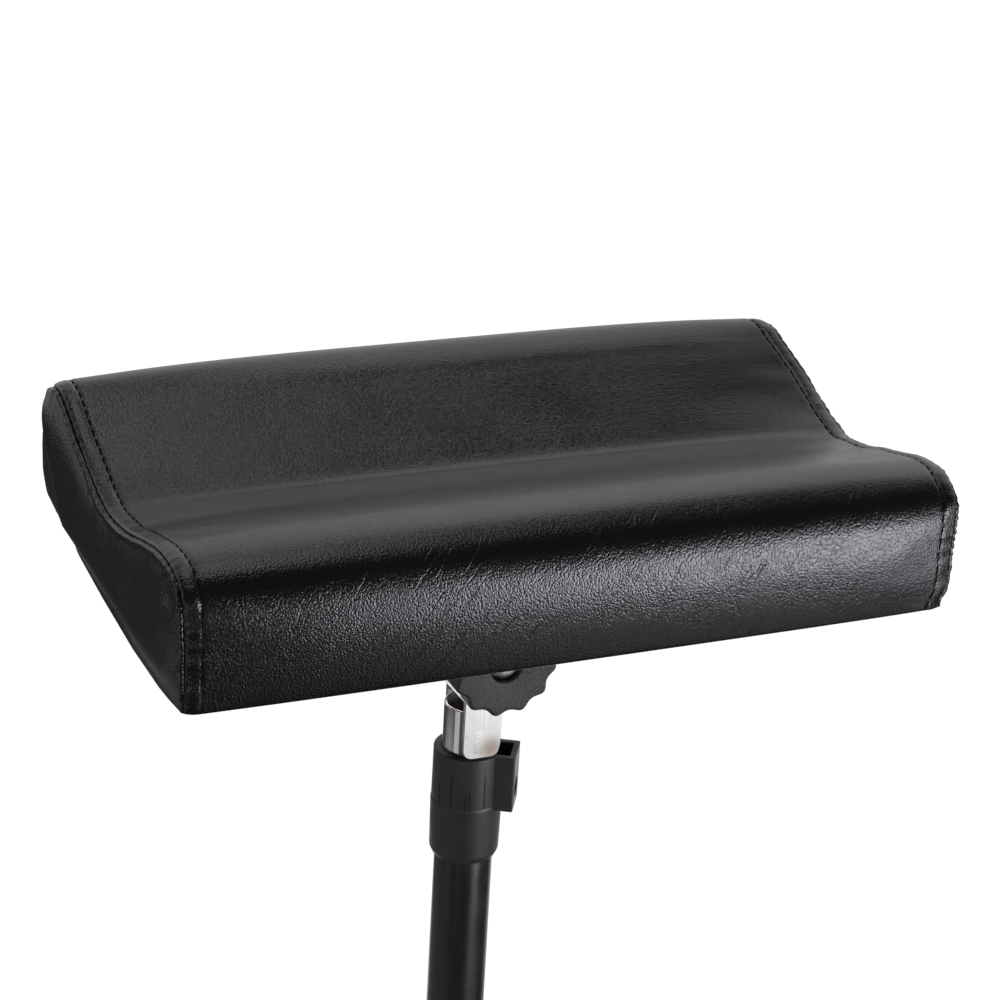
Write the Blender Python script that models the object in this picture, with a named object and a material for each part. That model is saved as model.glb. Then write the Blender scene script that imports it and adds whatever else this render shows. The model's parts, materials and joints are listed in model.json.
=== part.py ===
# Armrest stand: a contoured pad on a tilting head, a telescopic column and a
# folding tripod. Metres, +Z up. The origin is on the floor under the column,
# +X runs along the pad, and -Y is the side that carries the tilt knob.

import math

import bmesh
import bpy
from mathutils import Matrix, Vector

# Fits
SEAT_GAP = 0.0003
CUT_OVERRUN = 0.002
RUNNING_GAP = 0.0005

# Facets round a circle
COLUMN_STEPS = 28
BOLT_STEPS = 16
LEG_STEPS = 16
PIN_STEPS = 12
NOSE_STEPS = 6
CAP_STEPS = 4
SHARP_ANGLE = math.radians(35)

# Pad
PAD_SEAM_LENGTH = 0.362
PAD_DEPTH = 0.226
PAD_HEIGHT = 0.0725
PAD_END_DROP = 0.0035
PAD_SIDE_DRAW = 0.0012
PAD_END_BULGE = 0.0065
PAD_SETBACK = 0.011
# The section runs from the front's lower edge over the two ridges to the back:
# shares of the pad's depth and of its height.
PAD_SECTION_SHARES = (
    (0.014, 0.0), (0.003, 0.11), (0.0, 0.24), (0.001, 0.43), (0.006, 0.64),
    (0.020, 0.765), (0.044, 0.822), (0.084, 0.846), (0.142, 0.838), (0.195, 0.808),
    (0.248, 0.770), (0.319, 0.700), (0.389, 0.643), (0.478, 0.610), (0.553, 0.626),
    (0.633, 0.690), (0.704, 0.786), (0.757, 0.869), (0.805, 0.942), (0.838, 0.983),
    (0.868, 1.0), (0.890, 0.990), (0.914, 0.953), (0.937, 0.896), (0.957, 0.823),
    (0.982, 0.665), (0.995, 0.465), (1.0, 0.235), (0.987, 0.0),
)
PAD_FLOOR_SHARES = (0.8, 0.6, 0.4, 0.2)
PAD_STATION_SHARES = (-1.0, -0.975, -0.93, -0.85, -0.72, -0.54, -0.28, 0.0,
                      0.28, 0.54, 0.72, 0.85, 0.93, 0.975, 1.0)
PAD_CAP_RING_SHARES = (0.93, 0.76, 0.46)
PAD_CAP_CENTRE_SHARE = 0.40

# Board and cloth under the pad
BOARD_LENGTH = 0.350
BOARD_DEPTH = 0.206
BOARD_THICKNESS = 0.012
BOARD_CORNER = 0.012
CLOTH_THICKNESS = 0.0007

# Tilt bracket, bent from sheet; heights are measured down from the pad
SHEET = 0.0025
BRACKET_WIDTH = 0.064
BRACKET_BEND = 0.004
EAR_SHOULDER_DROP = 0.048
EAR_TIP_RADIUS = 0.013
PIVOT_DROP = 0.066
CLAMP_DROP = 0.046
TILT_LIMIT = math.radians(30)
BRACKET_SCREW_SPACING = 0.044
BRACKET_SCREW_ROW = 0.016

# Screws and pins
M8_RADIUS = 0.004
M8_NUT_FLATS = 0.013
M8_NUT_HEIGHT = 0.0063
M8_HEAD_HEIGHT = 0.0053
M6_RADIUS = 0.003
M6_NUT_FLATS = 0.010
M6_NUT_HEIGHT = 0.005
WOOD_SCREW_RADIUS = 0.0025
WOOD_SCREW_HEAD = 0.0048
WOOD_SCREW_HEAD_HEIGHT = 0.0026
WOOD_SCREW_LENGTH = 0.0135
SMALL_SCREW_RADIUS = 0.002
SMALL_SCREW_HEAD = 0.0038
SMALL_SCREW_HEAD_HEIGHT = 0.0022
WASHER_RADIUS = 0.010
WASHER_THICKNESS = 0.0015
RIVET_HEAD = 0.0052
RIVET_HEAD_HEIGHT = 0.0022
RIVET_TAIL = 0.0046
RIVET_TAIL_HEIGHT = 0.0016
PIVOT_HEAD = 0.007
PIVOT_HEAD_HEIGHT = 0.0032
BOLT_END = 0.002
HEAD_CROWN_SHARE = 0.62

# Mast and its lugs
MAST_RADIUS = 0.0127
MAST_WALL = 0.0012
MAST_FOOT_GAP = 0.0167
MAST_TOP_DROP = 0.083
LUG_WIDTH = 0.019
BACK_LUG_WIDTH = 0.0135
LUG_BOTTOM_DROP = 0.1058
LUG_CORNER = 0.005
LUG_STAND_OFF = 0.0003
GUIDE_FLANGE = 0.004
GUIDE_STUB = 0.020

# Tilt knob
KNOB_RADIUS = 0.0244
KNOB_LOBE = 0.0012
KNOB_LOBES = 12
KNOB_LOBE_STEPS = 4
KNOB_FIRST_LOBE = math.radians(-8.5)
KNOB_THICKNESS = 0.014
KNOB_HUB_RADIUS = 0.010
KNOB_HUB_HEIGHT = 0.0051
KNOB_EDGE = 0.0016
KNOB_RECESS_RADIUS = 0.0081
KNOB_RECESS_DEPTH = 0.0065

# Column
PAD_BOTTOM = 0.570
TUBE_RADIUS = 0.014
TUBE_WALL = 0.0011
COLUMN_CLEARANCE = 0.003
PLUG_FLANGE = 0.003
PLUG_STUB = 0.020
BASE_TURN = math.radians(-30)
SCREW_TURN = math.radians(120)

# Top collar
COLLAR_TOP_DROP = 0.1063
COLLAR_HEIGHT = 0.0570
COLLAR_RADIUS = 0.0168
COLLAR_SKIRT_RADIUS = 0.0171
COLLAR_SKIRT_HEIGHT = 0.0301
COLLAR_CHAMFER_HEIGHT = 0.0036
COLLAR_FOOT_RADIUS = 0.0149
COLLAR_EDGE = 0.0006
COLLAR_BORE = 0.01295
COLLAR_SEAT_HEIGHT = 0.0202
BOSS_WIDTH = 0.0187
BOSS_REACH = 0.0235
BOSS_HEIGHT = 0.0287
BOSS_HOLE_DROP = 0.0193
BOSS_HOLE_RADIUS = 0.005
POCKET_WALL = 0.001
SET_SCREW_LENGTH = 0.008
SET_SCREW_SOCKET = 0.004
SET_SCREW_SOCKET_DEPTH = 0.0035
COLLAR_SCREW_HEIGHT = 0.0110

# Folding tripod
LEG_COUNT = 3
LEG_FIRST_TURN = math.radians(60)
OPEN_ANGLE = math.radians(50)
FOLDED_ANGLE = math.radians(4)
LINK_LENGTH = 0.166
LEG_RADIUS = 0.008
LEG_WALL = 0.0012
PIVOT_REACH = 0.027
PIVOT_NOSE = 0.008
HUB_PIVOT_HEIGHT = 0.036
HUB_BOTTOM = 0.010
HUB_TOP = 0.056
BARREL_RADIUS = 0.0185
HUB_SCREW_HEIGHT = 0.016
EAR_THICKNESS = 0.004
LEG_COLLAR_HEIGHT = 0.044
LEG_EAR_NOSE = 0.009
LOCK_BOSS_WIDTH = 0.018
LOCK_BOSS_REACH = 0.026
LOCK_BOSS_HEIGHT = 0.026
LOCK_KNOB_RADIUS = 0.0150
LOCK_KNOB_LOBE = 0.0016
LOCK_KNOB_LOBES = 6
LOCK_KNOB_LOBE_STEPS = 6
LOCK_KNOB_THICKNESS = 0.011
LOCK_KNOB_HUB_RADIUS = 0.0075
LOCK_KNOB_HUB_HEIGHT = 0.004
LOCK_KNOB_EDGE = 0.0014
LOCK_STUD_COVER = 0.004
BRACE_SHEET = 0.002
BRACE_WEB_OFFSET = 0.0088
BRACE_WEB_START = 0.027
BRACE_WEB_END = 0.014
BRACE_WEB_RAMP = 0.004
CAP_STUB = 0.014
CAP_COLLAR = 0.003
FOOT_RADIUS = 0.0108
FOOT_END = 0.007
FOOT_COVER = 0.026
FOOT_EDGE = 0.0015
SOLE_CUT = 0.003

# Places worked out from the sizes above
PIVOT_HEIGHT = PAD_BOTTOM - PIVOT_DROP
CLAMP_HEIGHT = PAD_BOTTOM - CLAMP_DROP
COLLAR_TOP = PAD_BOTTOM - COLLAR_TOP_DROP
COLLAR_BOTTOM = COLLAR_TOP - COLLAR_HEIGHT
BOSS_HOLE_HEIGHT = COLLAR_TOP - BOSS_HOLE_DROP
MAST_TOP = PAD_BOTTOM - MAST_TOP_DROP
PLUG_TOP = COLUMN_CLEARANCE + PLUG_FLANGE + SEAT_GAP + PLUG_STUB
MAST_BOTTOM = PLUG_TOP + MAST_FOOT_GAP + GUIDE_FLANGE
MAST_LENGTH = MAST_TOP - MAST_BOTTOM
LUG_INNER = MAST_RADIUS + LUG_STAND_OFF
LUG_OUTER = LUG_INNER + SHEET
EAR_INNER = LUG_OUTER + SEAT_GAP
EAR_OUTER = EAR_INNER + SHEET
BASE_TOP = PAD_BOTTOM - SEAT_GAP
BASE_BOTTOM = BASE_TOP - SHEET
BOLT_HOLE = M8_RADIUS + SEAT_GAP
PIN_HOLE = M6_RADIUS + SEAT_GAP
BARREL_BORE = TUBE_RADIUS + SEAT_GAP
TUBE_BORE = TUBE_RADIUS - TUBE_WALL
LEG_COLLAR_REST = HUB_PIVOT_HEIGHT + 2 * LINK_LENGTH * math.cos(OPEN_ANGLE)
LEG_LENGTH = ((LEG_COLLAR_REST + SOLE_CUT - FOOT_RADIUS * math.sin(OPEN_ANGLE))
              / math.cos(OPEN_ANGLE) - FOOT_END)
FORK_GAP = 2 * (LEG_RADIUS + RUNNING_GAP)
HUB_LUG_WIDTH = FORK_GAP - 2 * SEAT_GAP


def clear_scene():
    for obj in list(bpy.data.objects):
        bpy.data.objects.remove(obj, do_unlink=True)


def finish(name, colour, roughness, metallic):
    """A Principled material."""
    material = bpy.data.materials.new(name)
    material.use_nodes = True
    shader = material.node_tree.nodes["Principled BSDF"]
    shader.inputs["Base Color"].default_value = (*colour, 1.0)
    shader.inputs["Roughness"].default_value = roughness
    shader.inputs["Metallic"].default_value = metallic
    material.diffuse_color = (*colour, 1.0)
    return material


def joint_empty(name, place, turn=(0.0, 0.0, 0.0), parent=None):
    empty = bpy.data.objects.new(name, None)
    bpy.context.collection.objects.link(empty)
    empty.parent = parent
    empty.location = place
    empty.rotation_euler = turn
    return empty


def mesh_from(bm, name):
    bmesh.ops.recalc_face_normals(bm, faces=bm.faces)
    mesh = bpy.data.meshes.new(name)
    bm.to_mesh(mesh)
    bm.free()
    return mesh


def place(name, mesh, material, parent, location=(0.0, 0.0, 0.0), turn=(0.0, 0.0, 0.0)):
    """One named piece, smooth on its round faces."""
    if material.name not in mesh.materials:
        mesh.materials.append(material)
    mesh.shade_smooth()
    mesh.set_sharp_from_angle(angle=SHARP_ANGLE)
    obj = bpy.data.objects.new(name, mesh)
    bpy.context.collection.objects.link(obj)
    obj.parent = parent
    obj.location = location
    obj.rotation_euler = turn
    return obj


def joined(name, base, steps):
    """The mesh of base after exact Boolean steps, each an operation and a bmesh."""
    scene_objects = bpy.context.collection.objects
    target = bpy.data.objects.new(name, mesh_from(base, name))
    scene_objects.link(target)
    tools = []
    for operation, tool_bm in steps:
        tool = bpy.data.objects.new(name + "_tool", mesh_from(tool_bm, name + "_tool"))
        scene_objects.link(tool)
        tool.hide_render = True
        tool.display_type = "WIRE"
        modifier = target.modifiers.new(operation.lower(), "BOOLEAN")
        modifier.operation = operation
        modifier.object = tool
        modifier.solver = "EXACT"
        tools.append(tool)
    graph = bpy.context.evaluated_depsgraph_get()
    mesh = bpy.data.meshes.new_from_object(target.evaluated_get(graph), depsgraph=graph)
    for obj in [target] + tools:
        old = obj.data
        bpy.data.objects.remove(obj, do_unlink=True)
        bpy.data.meshes.remove(old)
    mesh.name = name
    return mesh


def circle(radius, steps, centre=(0.0, 0.0), start=0.0, sweep=2 * math.pi):
    """Points round a circle, or along an arc when the sweep is less than a turn."""
    whole = abs(sweep - 2 * math.pi) < 1e-9
    count = steps if whole else steps + 1
    return [(centre[0] + radius * math.cos(start + sweep * i / steps),
             centre[1] + radius * math.sin(start + sweep * i / steps)) for i in range(count)]


def hexagon(flats):
    return circle(flats / 2 / math.cos(math.pi / 6), 6, start=math.pi / 6)


def rounded_rectangle(width, height, corner, steps=4):
    points = []
    quarter = math.pi / 2
    for turn, (side_x, side_y) in enumerate(((1, 1), (-1, 1), (-1, -1), (1, -1))):
        centre = (side_x * (width / 2 - corner), side_y * (height / 2 - corner))
        points += circle(corner, steps, centre, turn * quarter, quarter)
    return points


def rectangle(x0, x1, y0, y1):
    return [(x0, y0), (x1, y0), (x1, y1), (x0, y1)]


def prism(outline, depth, holes=(), bm=None, matrix=None):
    """An outline in X and Y, with holes, raised to a depth along Z."""
    bm = bm or bmesh.new()
    edges = []
    for loop in (outline, *holes):
        corners = [bm.verts.new((x, y, 0.0)) for x, y in loop]
        edges += [bm.edges.new((a, b)) for a, b in zip(corners, corners[1:] + corners[:1])]
    if holes:
        filled = bmesh.ops.triangle_fill(bm, edges=edges, use_beauty=True)
        faces = [item for item in filled["geom"] if isinstance(item, bmesh.types.BMFace)]
    else:
        faces = [bm.faces.new(corners)]
    raised = bmesh.ops.extrude_face_region(bm, geom=faces, use_keep_orig=True)
    moved = [item for item in raised["geom"] if isinstance(item, bmesh.types.BMVert)]
    bmesh.ops.translate(bm, verts=moved, vec=(0.0, 0.0, depth))
    if matrix is not None:
        verts = set(moved) | {vert for edge in edges for vert in edge.verts}
        bmesh.ops.transform(bm, matrix=matrix, verts=list(verts))
    return bm


def turned(profile, steps, bm=None, matrix=None):
    """A profile of radius and height turned about Z.

    A profile that starts and ends on the axis is solid; any other is a closed
    loop, which makes a ring."""
    bm = bm or bmesh.new()
    rings = []
    made = []
    for radius, height in profile:
        if radius == 0:
            ring = [bm.verts.new((0.0, 0.0, height))]
        else:
            ring = [bm.verts.new((x, y, height)) for x, y in circle(radius, steps)]
        rings.append(ring)
        made += ring
    solid = len(rings[0]) == 1
    pairs = list(zip(rings, rings[1:]))
    if not solid:
        pairs.append((rings[-1], rings[0]))
    for lower, upper in pairs:
        for i in range(steps):
            j = (i + 1) % steps
            if len(lower) == 1:
                bm.faces.new((lower[0], upper[j], upper[i]))
            elif len(upper) == 1:
                bm.faces.new((lower[i], lower[j], upper[0]))
            else:
                bm.faces.new((lower[i], lower[j], upper[j], upper[i]))
    if matrix is not None:
        bmesh.ops.transform(bm, matrix=matrix, verts=made)
    return bm


def rod(radius, start, end, steps=PIN_STEPS, bm=None, matrix=None):
    """A plain cylinder from one height to another."""
    return turned([(0, start), (radius, start), (radius, end), (0, end)], steps, bm, matrix)


def pipe(outer, inner, start, end, steps):
    return turned([(outer, start), (outer, end), (inner, end), (inner, start)], steps)


def along(axis, origin=(0.0, 0.0, 0.0)):
    """A matrix that lays local Z along an axis, with local X kept level."""
    direction = Vector(axis).normalized()
    level = Vector((0.0, 0.0, 1.0)).cross(direction)
    if level.length < 1e-6:
        level = Vector((1.0, 0.0, 0.0))
    level.normalize()
    third = direction.cross(level)
    turn = Matrix((level, third, direction)).transposed().to_4x4()
    return Matrix.Translation(origin) @ turn


def facing_front(y, z=0.0):
    """Drawing plane X and Z, raised towards -Y from the given y."""
    return Matrix.Translation((0.0, y, z)) @ Matrix.Rotation(math.pi / 2, 4, "X")


def headed_pin(radius, length, head, head_height, crown=True):
    """A shank from 0 to its length, with a domed head below 0."""
    crown_radius = head * HEAD_CROWN_SHARE
    top = [(0, -head_height), (crown_radius, -head_height)] if crown else [(0, -head_height)]
    rim = [(head, -head_height * (1 - HEAD_CROWN_SHARE) if crown else -head_height)]
    return top + rim + [(head, 0), (radius, 0), (radius, length), (0, length)]


def rivet(grip):
    """A rivet's profile: head, shank and tail, gripping the given thickness."""
    return [(0, -RIVET_HEAD_HEIGHT), (RIVET_HEAD * HEAD_CROWN_SHARE, -RIVET_HEAD_HEIGHT),
            (RIVET_HEAD, -RIVET_HEAD_HEIGHT * (1 - HEAD_CROWN_SHARE)), (RIVET_HEAD, 0),
            (M6_RADIUS, 0), (M6_RADIUS, grip), (RIVET_TAIL, grip),
            (RIVET_TAIL, grip + RIVET_TAIL_HEIGHT), (0, grip + RIVET_TAIL_HEIGHT)]


def hex_nut(flats, height, bore):
    return prism(hexagon(flats), height, holes=[circle(bore, PIN_STEPS)])


def lobed(radius, lobe, lobes, steps, first=0.0):
    """A wavy outline: whole lobes round a circle."""
    count = lobes * steps
    points = []
    for i in range(count):
        angle = 2 * math.pi * i / count
        reach = radius + lobe * math.cos(lobes * (angle - first))
        points.append((reach * math.cos(angle), reach * math.sin(angle)))
    return points


def lofted(rings):
    """A closed skin through rings of equal count, the last joined to the first."""
    bm = bmesh.new()
    loops = [[bm.verts.new(point) for point in ring] for ring in rings]
    for lower, upper in zip(loops, loops[1:] + loops[:1]):
        for i in range(len(lower)):
            j = (i + 1) % len(lower)
            bm.faces.new((lower[i], lower[j], upper[j], upper[i]))
    return bm


def knob_mesh(name, sizes):
    """A lobed knob: its hub's back at 0, its face towards +Z."""
    lobe_points = lobed(sizes["radius"], sizes["lobe"], sizes["lobes"], sizes["steps"],
                        sizes["first"])
    face = sizes["hub_height"] + sizes["thickness"]
    edge = sizes["edge"]
    slim = (sizes["radius"] - edge) / sizes["radius"]

    def wavy(scale, height):
        return [(x * scale, y * scale, height) for x, y in lobe_points]

    def plain(radius, height):
        return [(x / math.hypot(x, y) * radius, y / math.hypot(x, y) * radius, height)
                for x, y in lobe_points]

    rings = [
        plain(sizes["bore"], 0.0), plain(sizes["hub"], 0.0), plain(sizes["hub"], sizes["hub_height"]),
        wavy(slim, sizes["hub_height"]), wavy(1.0, sizes["hub_height"] + edge),
        wavy(1.0, face - edge), wavy(slim, face), plain(sizes["recess"], face),
        plain(sizes["recess"], face - sizes["recess_depth"]),
        plain(sizes["bore"], face - sizes["recess_depth"]),
    ]
    return mesh_from(lofted(rings), name)


def pad_ring(share):
    """The cushion's section at a share of its half length, as Y and Z."""
    fall = share ** 4
    front = -PAD_SETBACK - PAD_DEPTH / 2
    loop = []
    for depth_share, height_share in PAD_SECTION_SHARES:
        side = 2 * depth_share - 1
        y = front + PAD_DEPTH * depth_share - PAD_SIDE_DRAW * fall * side
        z = PAD_HEIGHT * height_share - PAD_END_DROP * fall * height_share
        loop.append((y, z))
    rear_edge, front_edge = loop[-1][0], loop[0][0]
    for floor_share in PAD_FLOOR_SHARES:
        loop.append((front_edge + (rear_edge - front_edge) * floor_share, 0.0))
    return loop


def cushion_mesh():
    """Foam in its cover: two ridges, an arm trough and bulging ends."""
    half = PAD_SEAM_LENGTH / 2
    bm = bmesh.new()
    loops = []
    for share in PAD_STATION_SHARES:
        loops.append([bm.verts.new((half * share, y, z)) for y, z in pad_ring(share)])
    centre_y = -PAD_SETBACK
    centre_z = PAD_HEIGHT * PAD_CAP_CENTRE_SHARE

    def cap(side):
        ring = pad_ring(side)
        rows = []
        for scale in PAD_CAP_RING_SHARES:
            reach = half + PAD_END_BULGE * math.sqrt(1 - scale ** 4)
            rows.append([bm.verts.new((side * reach, centre_y + (y - centre_y) * scale,
                                       centre_z + (z - centre_z) * scale)) for y, z in ring])
        tip = bm.verts.new((side * (half + PAD_END_BULGE), centre_y, centre_z))
        return rows, tip

    count = len(loops[0])
    near_rows, near_tip = cap(-1)
    far_rows, far_tip = cap(1)
    skin = near_rows[::-1] + loops + far_rows
    for lower, upper in zip(skin, skin[1:]):
        for i in range(count):
            j = (i + 1) % count
            bm.faces.new((lower[i], lower[j], upper[j], upper[i]))
    for i in range(count):
        j = (i + 1) % count
        bm.faces.new((near_tip, skin[0][j], skin[0][i]))
        bm.faces.new((far_tip, skin[-1][i], skin[-1][j]))
    depth = CLOTH_THICKNESS + BOARD_THICKNESS + 2 * SEAT_GAP
    pocket = prism(rounded_rectangle(BOARD_LENGTH + 2 * SEAT_GAP, BOARD_DEPTH + 2 * SEAT_GAP,
                                     BOARD_CORNER), CUT_OVERRUN + depth,
                   matrix=Matrix.Translation((0.0, -PAD_SETBACK, -CUT_OVERRUN)))
    return joined("pad_cushion", bm, [("DIFFERENCE", pocket)])


def screw_places():
    return [(side_x * BRACKET_SCREW_SPACING / 2, side_y * BRACKET_SCREW_ROW / 2)
            for side_x in (-1, 1) for side_y in (-1, 1)]


def build_pad(finishes, tilt):
    """Cushion, board, cloth and the bracket with its screws, about the tilt axis."""
    up = PAD_BOTTOM - PIVOT_HEIGHT
    place("pad_cushion", cushion_mesh(), finishes["cover"], tilt, (0.0, 0.0, up))

    def panel(name, thickness, lift, hole, material):
        holes = [[(x + px, y + py + PAD_SETBACK) for x, y in circle(hole, PIN_STEPS)]
                 for px, py in screw_places()]
        outline = rounded_rectangle(BOARD_LENGTH, BOARD_DEPTH, BOARD_CORNER)
        mesh = mesh_from(prism(outline, thickness, holes), name)
        place(name, mesh, material, tilt, (0.0, -PAD_SETBACK, up + lift))

    cloth_hole = WOOD_SCREW_RADIUS + SEAT_GAP
    panel("pad_bottom_cloth", CLOTH_THICKNESS, 0.0, cloth_hole, finishes["cloth"])
    panel("pad_board", BOARD_THICKNESS, CLOTH_THICKNESS + SEAT_GAP, cloth_hole, finishes["board"])
    place("tilt_bracket", bracket_mesh(), finishes["chrome"], tilt)
    screw = headed_pin(WOOD_SCREW_RADIUS, WOOD_SCREW_LENGTH, WOOD_SCREW_HEAD, WOOD_SCREW_HEAD_HEIGHT)
    seat = BASE_BOTTOM - SEAT_GAP - PIVOT_HEIGHT
    mesh = mesh_from(turned(screw, PIN_STEPS), "bracket_screw")
    for i, (x, y) in enumerate(screw_places()):
        place(f"bracket_screw_{i + 1}", mesh, finishes["zinc"], tilt, (x, y, seat))


def bracket_outline():
    """The ear seen from the front, about the pivot: straight sides, then a V with a round tip."""
    half = BRACKET_WIDTH / 2
    top = BASE_TOP - PIVOT_HEIGHT
    shoulder = PIVOT_DROP - EAR_SHOULDER_DROP
    reach = math.hypot(half, shoulder)
    slope = math.acos(EAR_TIP_RADIUS / reach) - math.atan2(shoulder, half)
    right = [(half, top), (half, shoulder)]
    tip = circle(EAR_TIP_RADIUS, 8, (0.0, 0.0), -slope, -(math.pi - 2 * slope))
    left = [(-half, shoulder), (-half, top)]
    return right + tip + left


def bracket_mesh():
    """A U of sheet: a base plate under the pad and two ears, the front one slotted."""
    top = BASE_TOP - PIVOT_HEIGHT
    low = -EAR_TIP_RADIUS - CUT_OVERRUN
    inner_bend = BRACKET_BEND - SHEET
    corner = circle(BRACKET_BEND, 3, (EAR_OUTER - BRACKET_BEND, top - BRACKET_BEND), 0.0, math.pi / 2)
    inside = circle(inner_bend, 3, (EAR_INNER - inner_bend, top - BRACKET_BEND), 0.0, math.pi / 2)
    right = [(EAR_INNER, low), (EAR_OUTER, low)] + corner
    section = right + [(-y, z) for y, z in reversed(right)]
    section += [(-y, z) for y, z in inside] + list(reversed(inside))
    lengthways = Matrix(((0, 0, 1, -BRACKET_WIDTH), (1, 0, 0, 0), (0, 1, 0, 0), (0, 0, 0, 1)))
    channel = prism(section, 2 * BRACKET_WIDTH, matrix=lengthways)
    through = EAR_OUTER + CUT_OVERRUN
    silhouette = prism(bracket_outline(), 2 * through, matrix=facing_front(through))
    pivot_hole = rod(BOLT_HOLE, -through, through, matrix=along((0, 1, 0)))
    arc = PIVOT_DROP - CLAMP_DROP
    middle = math.pi / 2
    slot = circle(arc + BOLT_HOLE, 10, (0.0, 0.0), middle - TILT_LIMIT, 2 * TILT_LIMIT)
    left_end = (arc * math.cos(middle + TILT_LIMIT), arc * math.sin(middle + TILT_LIMIT))
    right_end = (-left_end[0], left_end[1])
    slot += circle(BOLT_HOLE, 6, left_end, middle + TILT_LIMIT, math.pi)[1:]
    slot += circle(arc - BOLT_HOLE, 10, (0.0, 0.0), middle + TILT_LIMIT, -2 * TILT_LIMIT)[1:]
    slot += circle(BOLT_HOLE, 6, right_end, math.pi + middle - TILT_LIMIT, math.pi)[1:-1]
    slot_cut = prism(slot, through, matrix=facing_front(0.0))
    screw_cut = bmesh.new()
    for x, y in screw_places():
        rod(WOOD_SCREW_RADIUS + SEAT_GAP, top - SHEET - CUT_OVERRUN, top + CUT_OVERRUN, bm=screw_cut,
            matrix=Matrix.Translation((x, y, 0.0)))
    return joined("tilt_bracket", channel, [("INTERSECT", silhouette), ("DIFFERENCE", pivot_hole),
                                            ("DIFFERENCE", slot_cut), ("DIFFERENCE", screw_cut)])


def lug_mesh(name, width, top, holes):
    """A flat strip on the mast's side, from its foot up to a round top about a hole."""
    half = width / 2
    foot = -LUG_BOTTOM_DROP
    quarter = math.pi / 2
    outline = circle(half, 8, (0.0, -top), 0.0, math.pi)
    outline += circle(LUG_CORNER, 4, (-half + LUG_CORNER, foot + LUG_CORNER), math.pi, quarter)
    outline += circle(LUG_CORNER, 4, (half - LUG_CORNER, foot + LUG_CORNER), -quarter, quarter)
    cuts = [circle(BOLT_HOLE, PIN_STEPS, (0.0, -drop)) for drop in holes]
    return mesh_from(prism(outline, SHEET, cuts), name)


def build_mast(finishes, swivel, guide):
    """Inner tube, its two lugs, the pivot bolt and the guide at its foot."""
    rise = -MAST_BOTTOM
    tube = pipe(MAST_RADIUS, MAST_RADIUS - MAST_WALL, 0.0, MAST_LENGTH, COLUMN_STEPS)
    place("mast_tube", mesh_from(tube, "mast_tube"), finishes["chrome"], swivel)
    pad_level = PAD_BOTTOM + rise
    place("front_lug", lug_mesh("front_lug", LUG_WIDTH, CLAMP_DROP, (CLAMP_DROP, PIVOT_DROP)), finishes["chrome"],
          swivel, (0.0, -LUG_INNER, pad_level), (math.pi / 2, 0.0, 0.0))
    place("back_lug", lug_mesh("back_lug", BACK_LUG_WIDTH, PIVOT_DROP, (PIVOT_DROP,)), finishes["chrome"],
          swivel, (0.0, LUG_OUTER, pad_level), (math.pi / 2, 0.0, 0.0))
    nut = mesh_from(hex_nut(M8_NUT_FLATS, M8_NUT_HEIGHT, BOLT_HOLE), "m8_nut")
    place("clamp_weld_nut", nut, finishes["zinc"], swivel,
          (0.0, -LUG_INNER + SEAT_GAP + M8_NUT_HEIGHT, CLAMP_HEIGHT + rise), (math.pi / 2, 0.0, 0.0))
    place("pivot_nut", nut, finishes["zinc"], swivel,
          (0.0, EAR_OUTER + SEAT_GAP + M8_NUT_HEIGHT, PIVOT_HEIGHT + rise), (math.pi / 2, 0.0, 0.0))
    grip = 2 * (EAR_OUTER + SEAT_GAP) + M8_NUT_HEIGHT + BOLT_END
    bolt = turned(headed_pin(M8_RADIUS, grip, PIVOT_HEAD, PIVOT_HEAD_HEIGHT), BOLT_STEPS)
    place("pivot_bolt", mesh_from(bolt, "pivot_bolt"), finishes["zinc"], swivel,
          (0.0, -EAR_OUTER - SEAT_GAP, PIVOT_HEIGHT + rise), (-math.pi / 2, 0.0, 0.0))
    washer = pipe(WASHER_RADIUS, BOLT_HOLE, 0.0, WASHER_THICKNESS, BOLT_STEPS)
    place("knob_washer", mesh_from(washer, "knob_washer"), finishes["zinc"], swivel,
          (0.0, -EAR_OUTER - SEAT_GAP, CLAMP_HEIGHT + rise), (math.pi / 2, 0.0, 0.0))
    bore = MAST_RADIUS - MAST_WALL - SEAT_GAP
    profile = [(0, -GUIDE_FLANGE), (MAST_RADIUS, -GUIDE_FLANGE), (MAST_RADIUS, -SEAT_GAP),
               (bore, -SEAT_GAP), (bore, GUIDE_STUB), (0, GUIDE_STUB)]
    place("mast_guide", mesh_from(turned(profile, COLUMN_STEPS), "mast_guide"), finishes["plastic"], guide)


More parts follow.
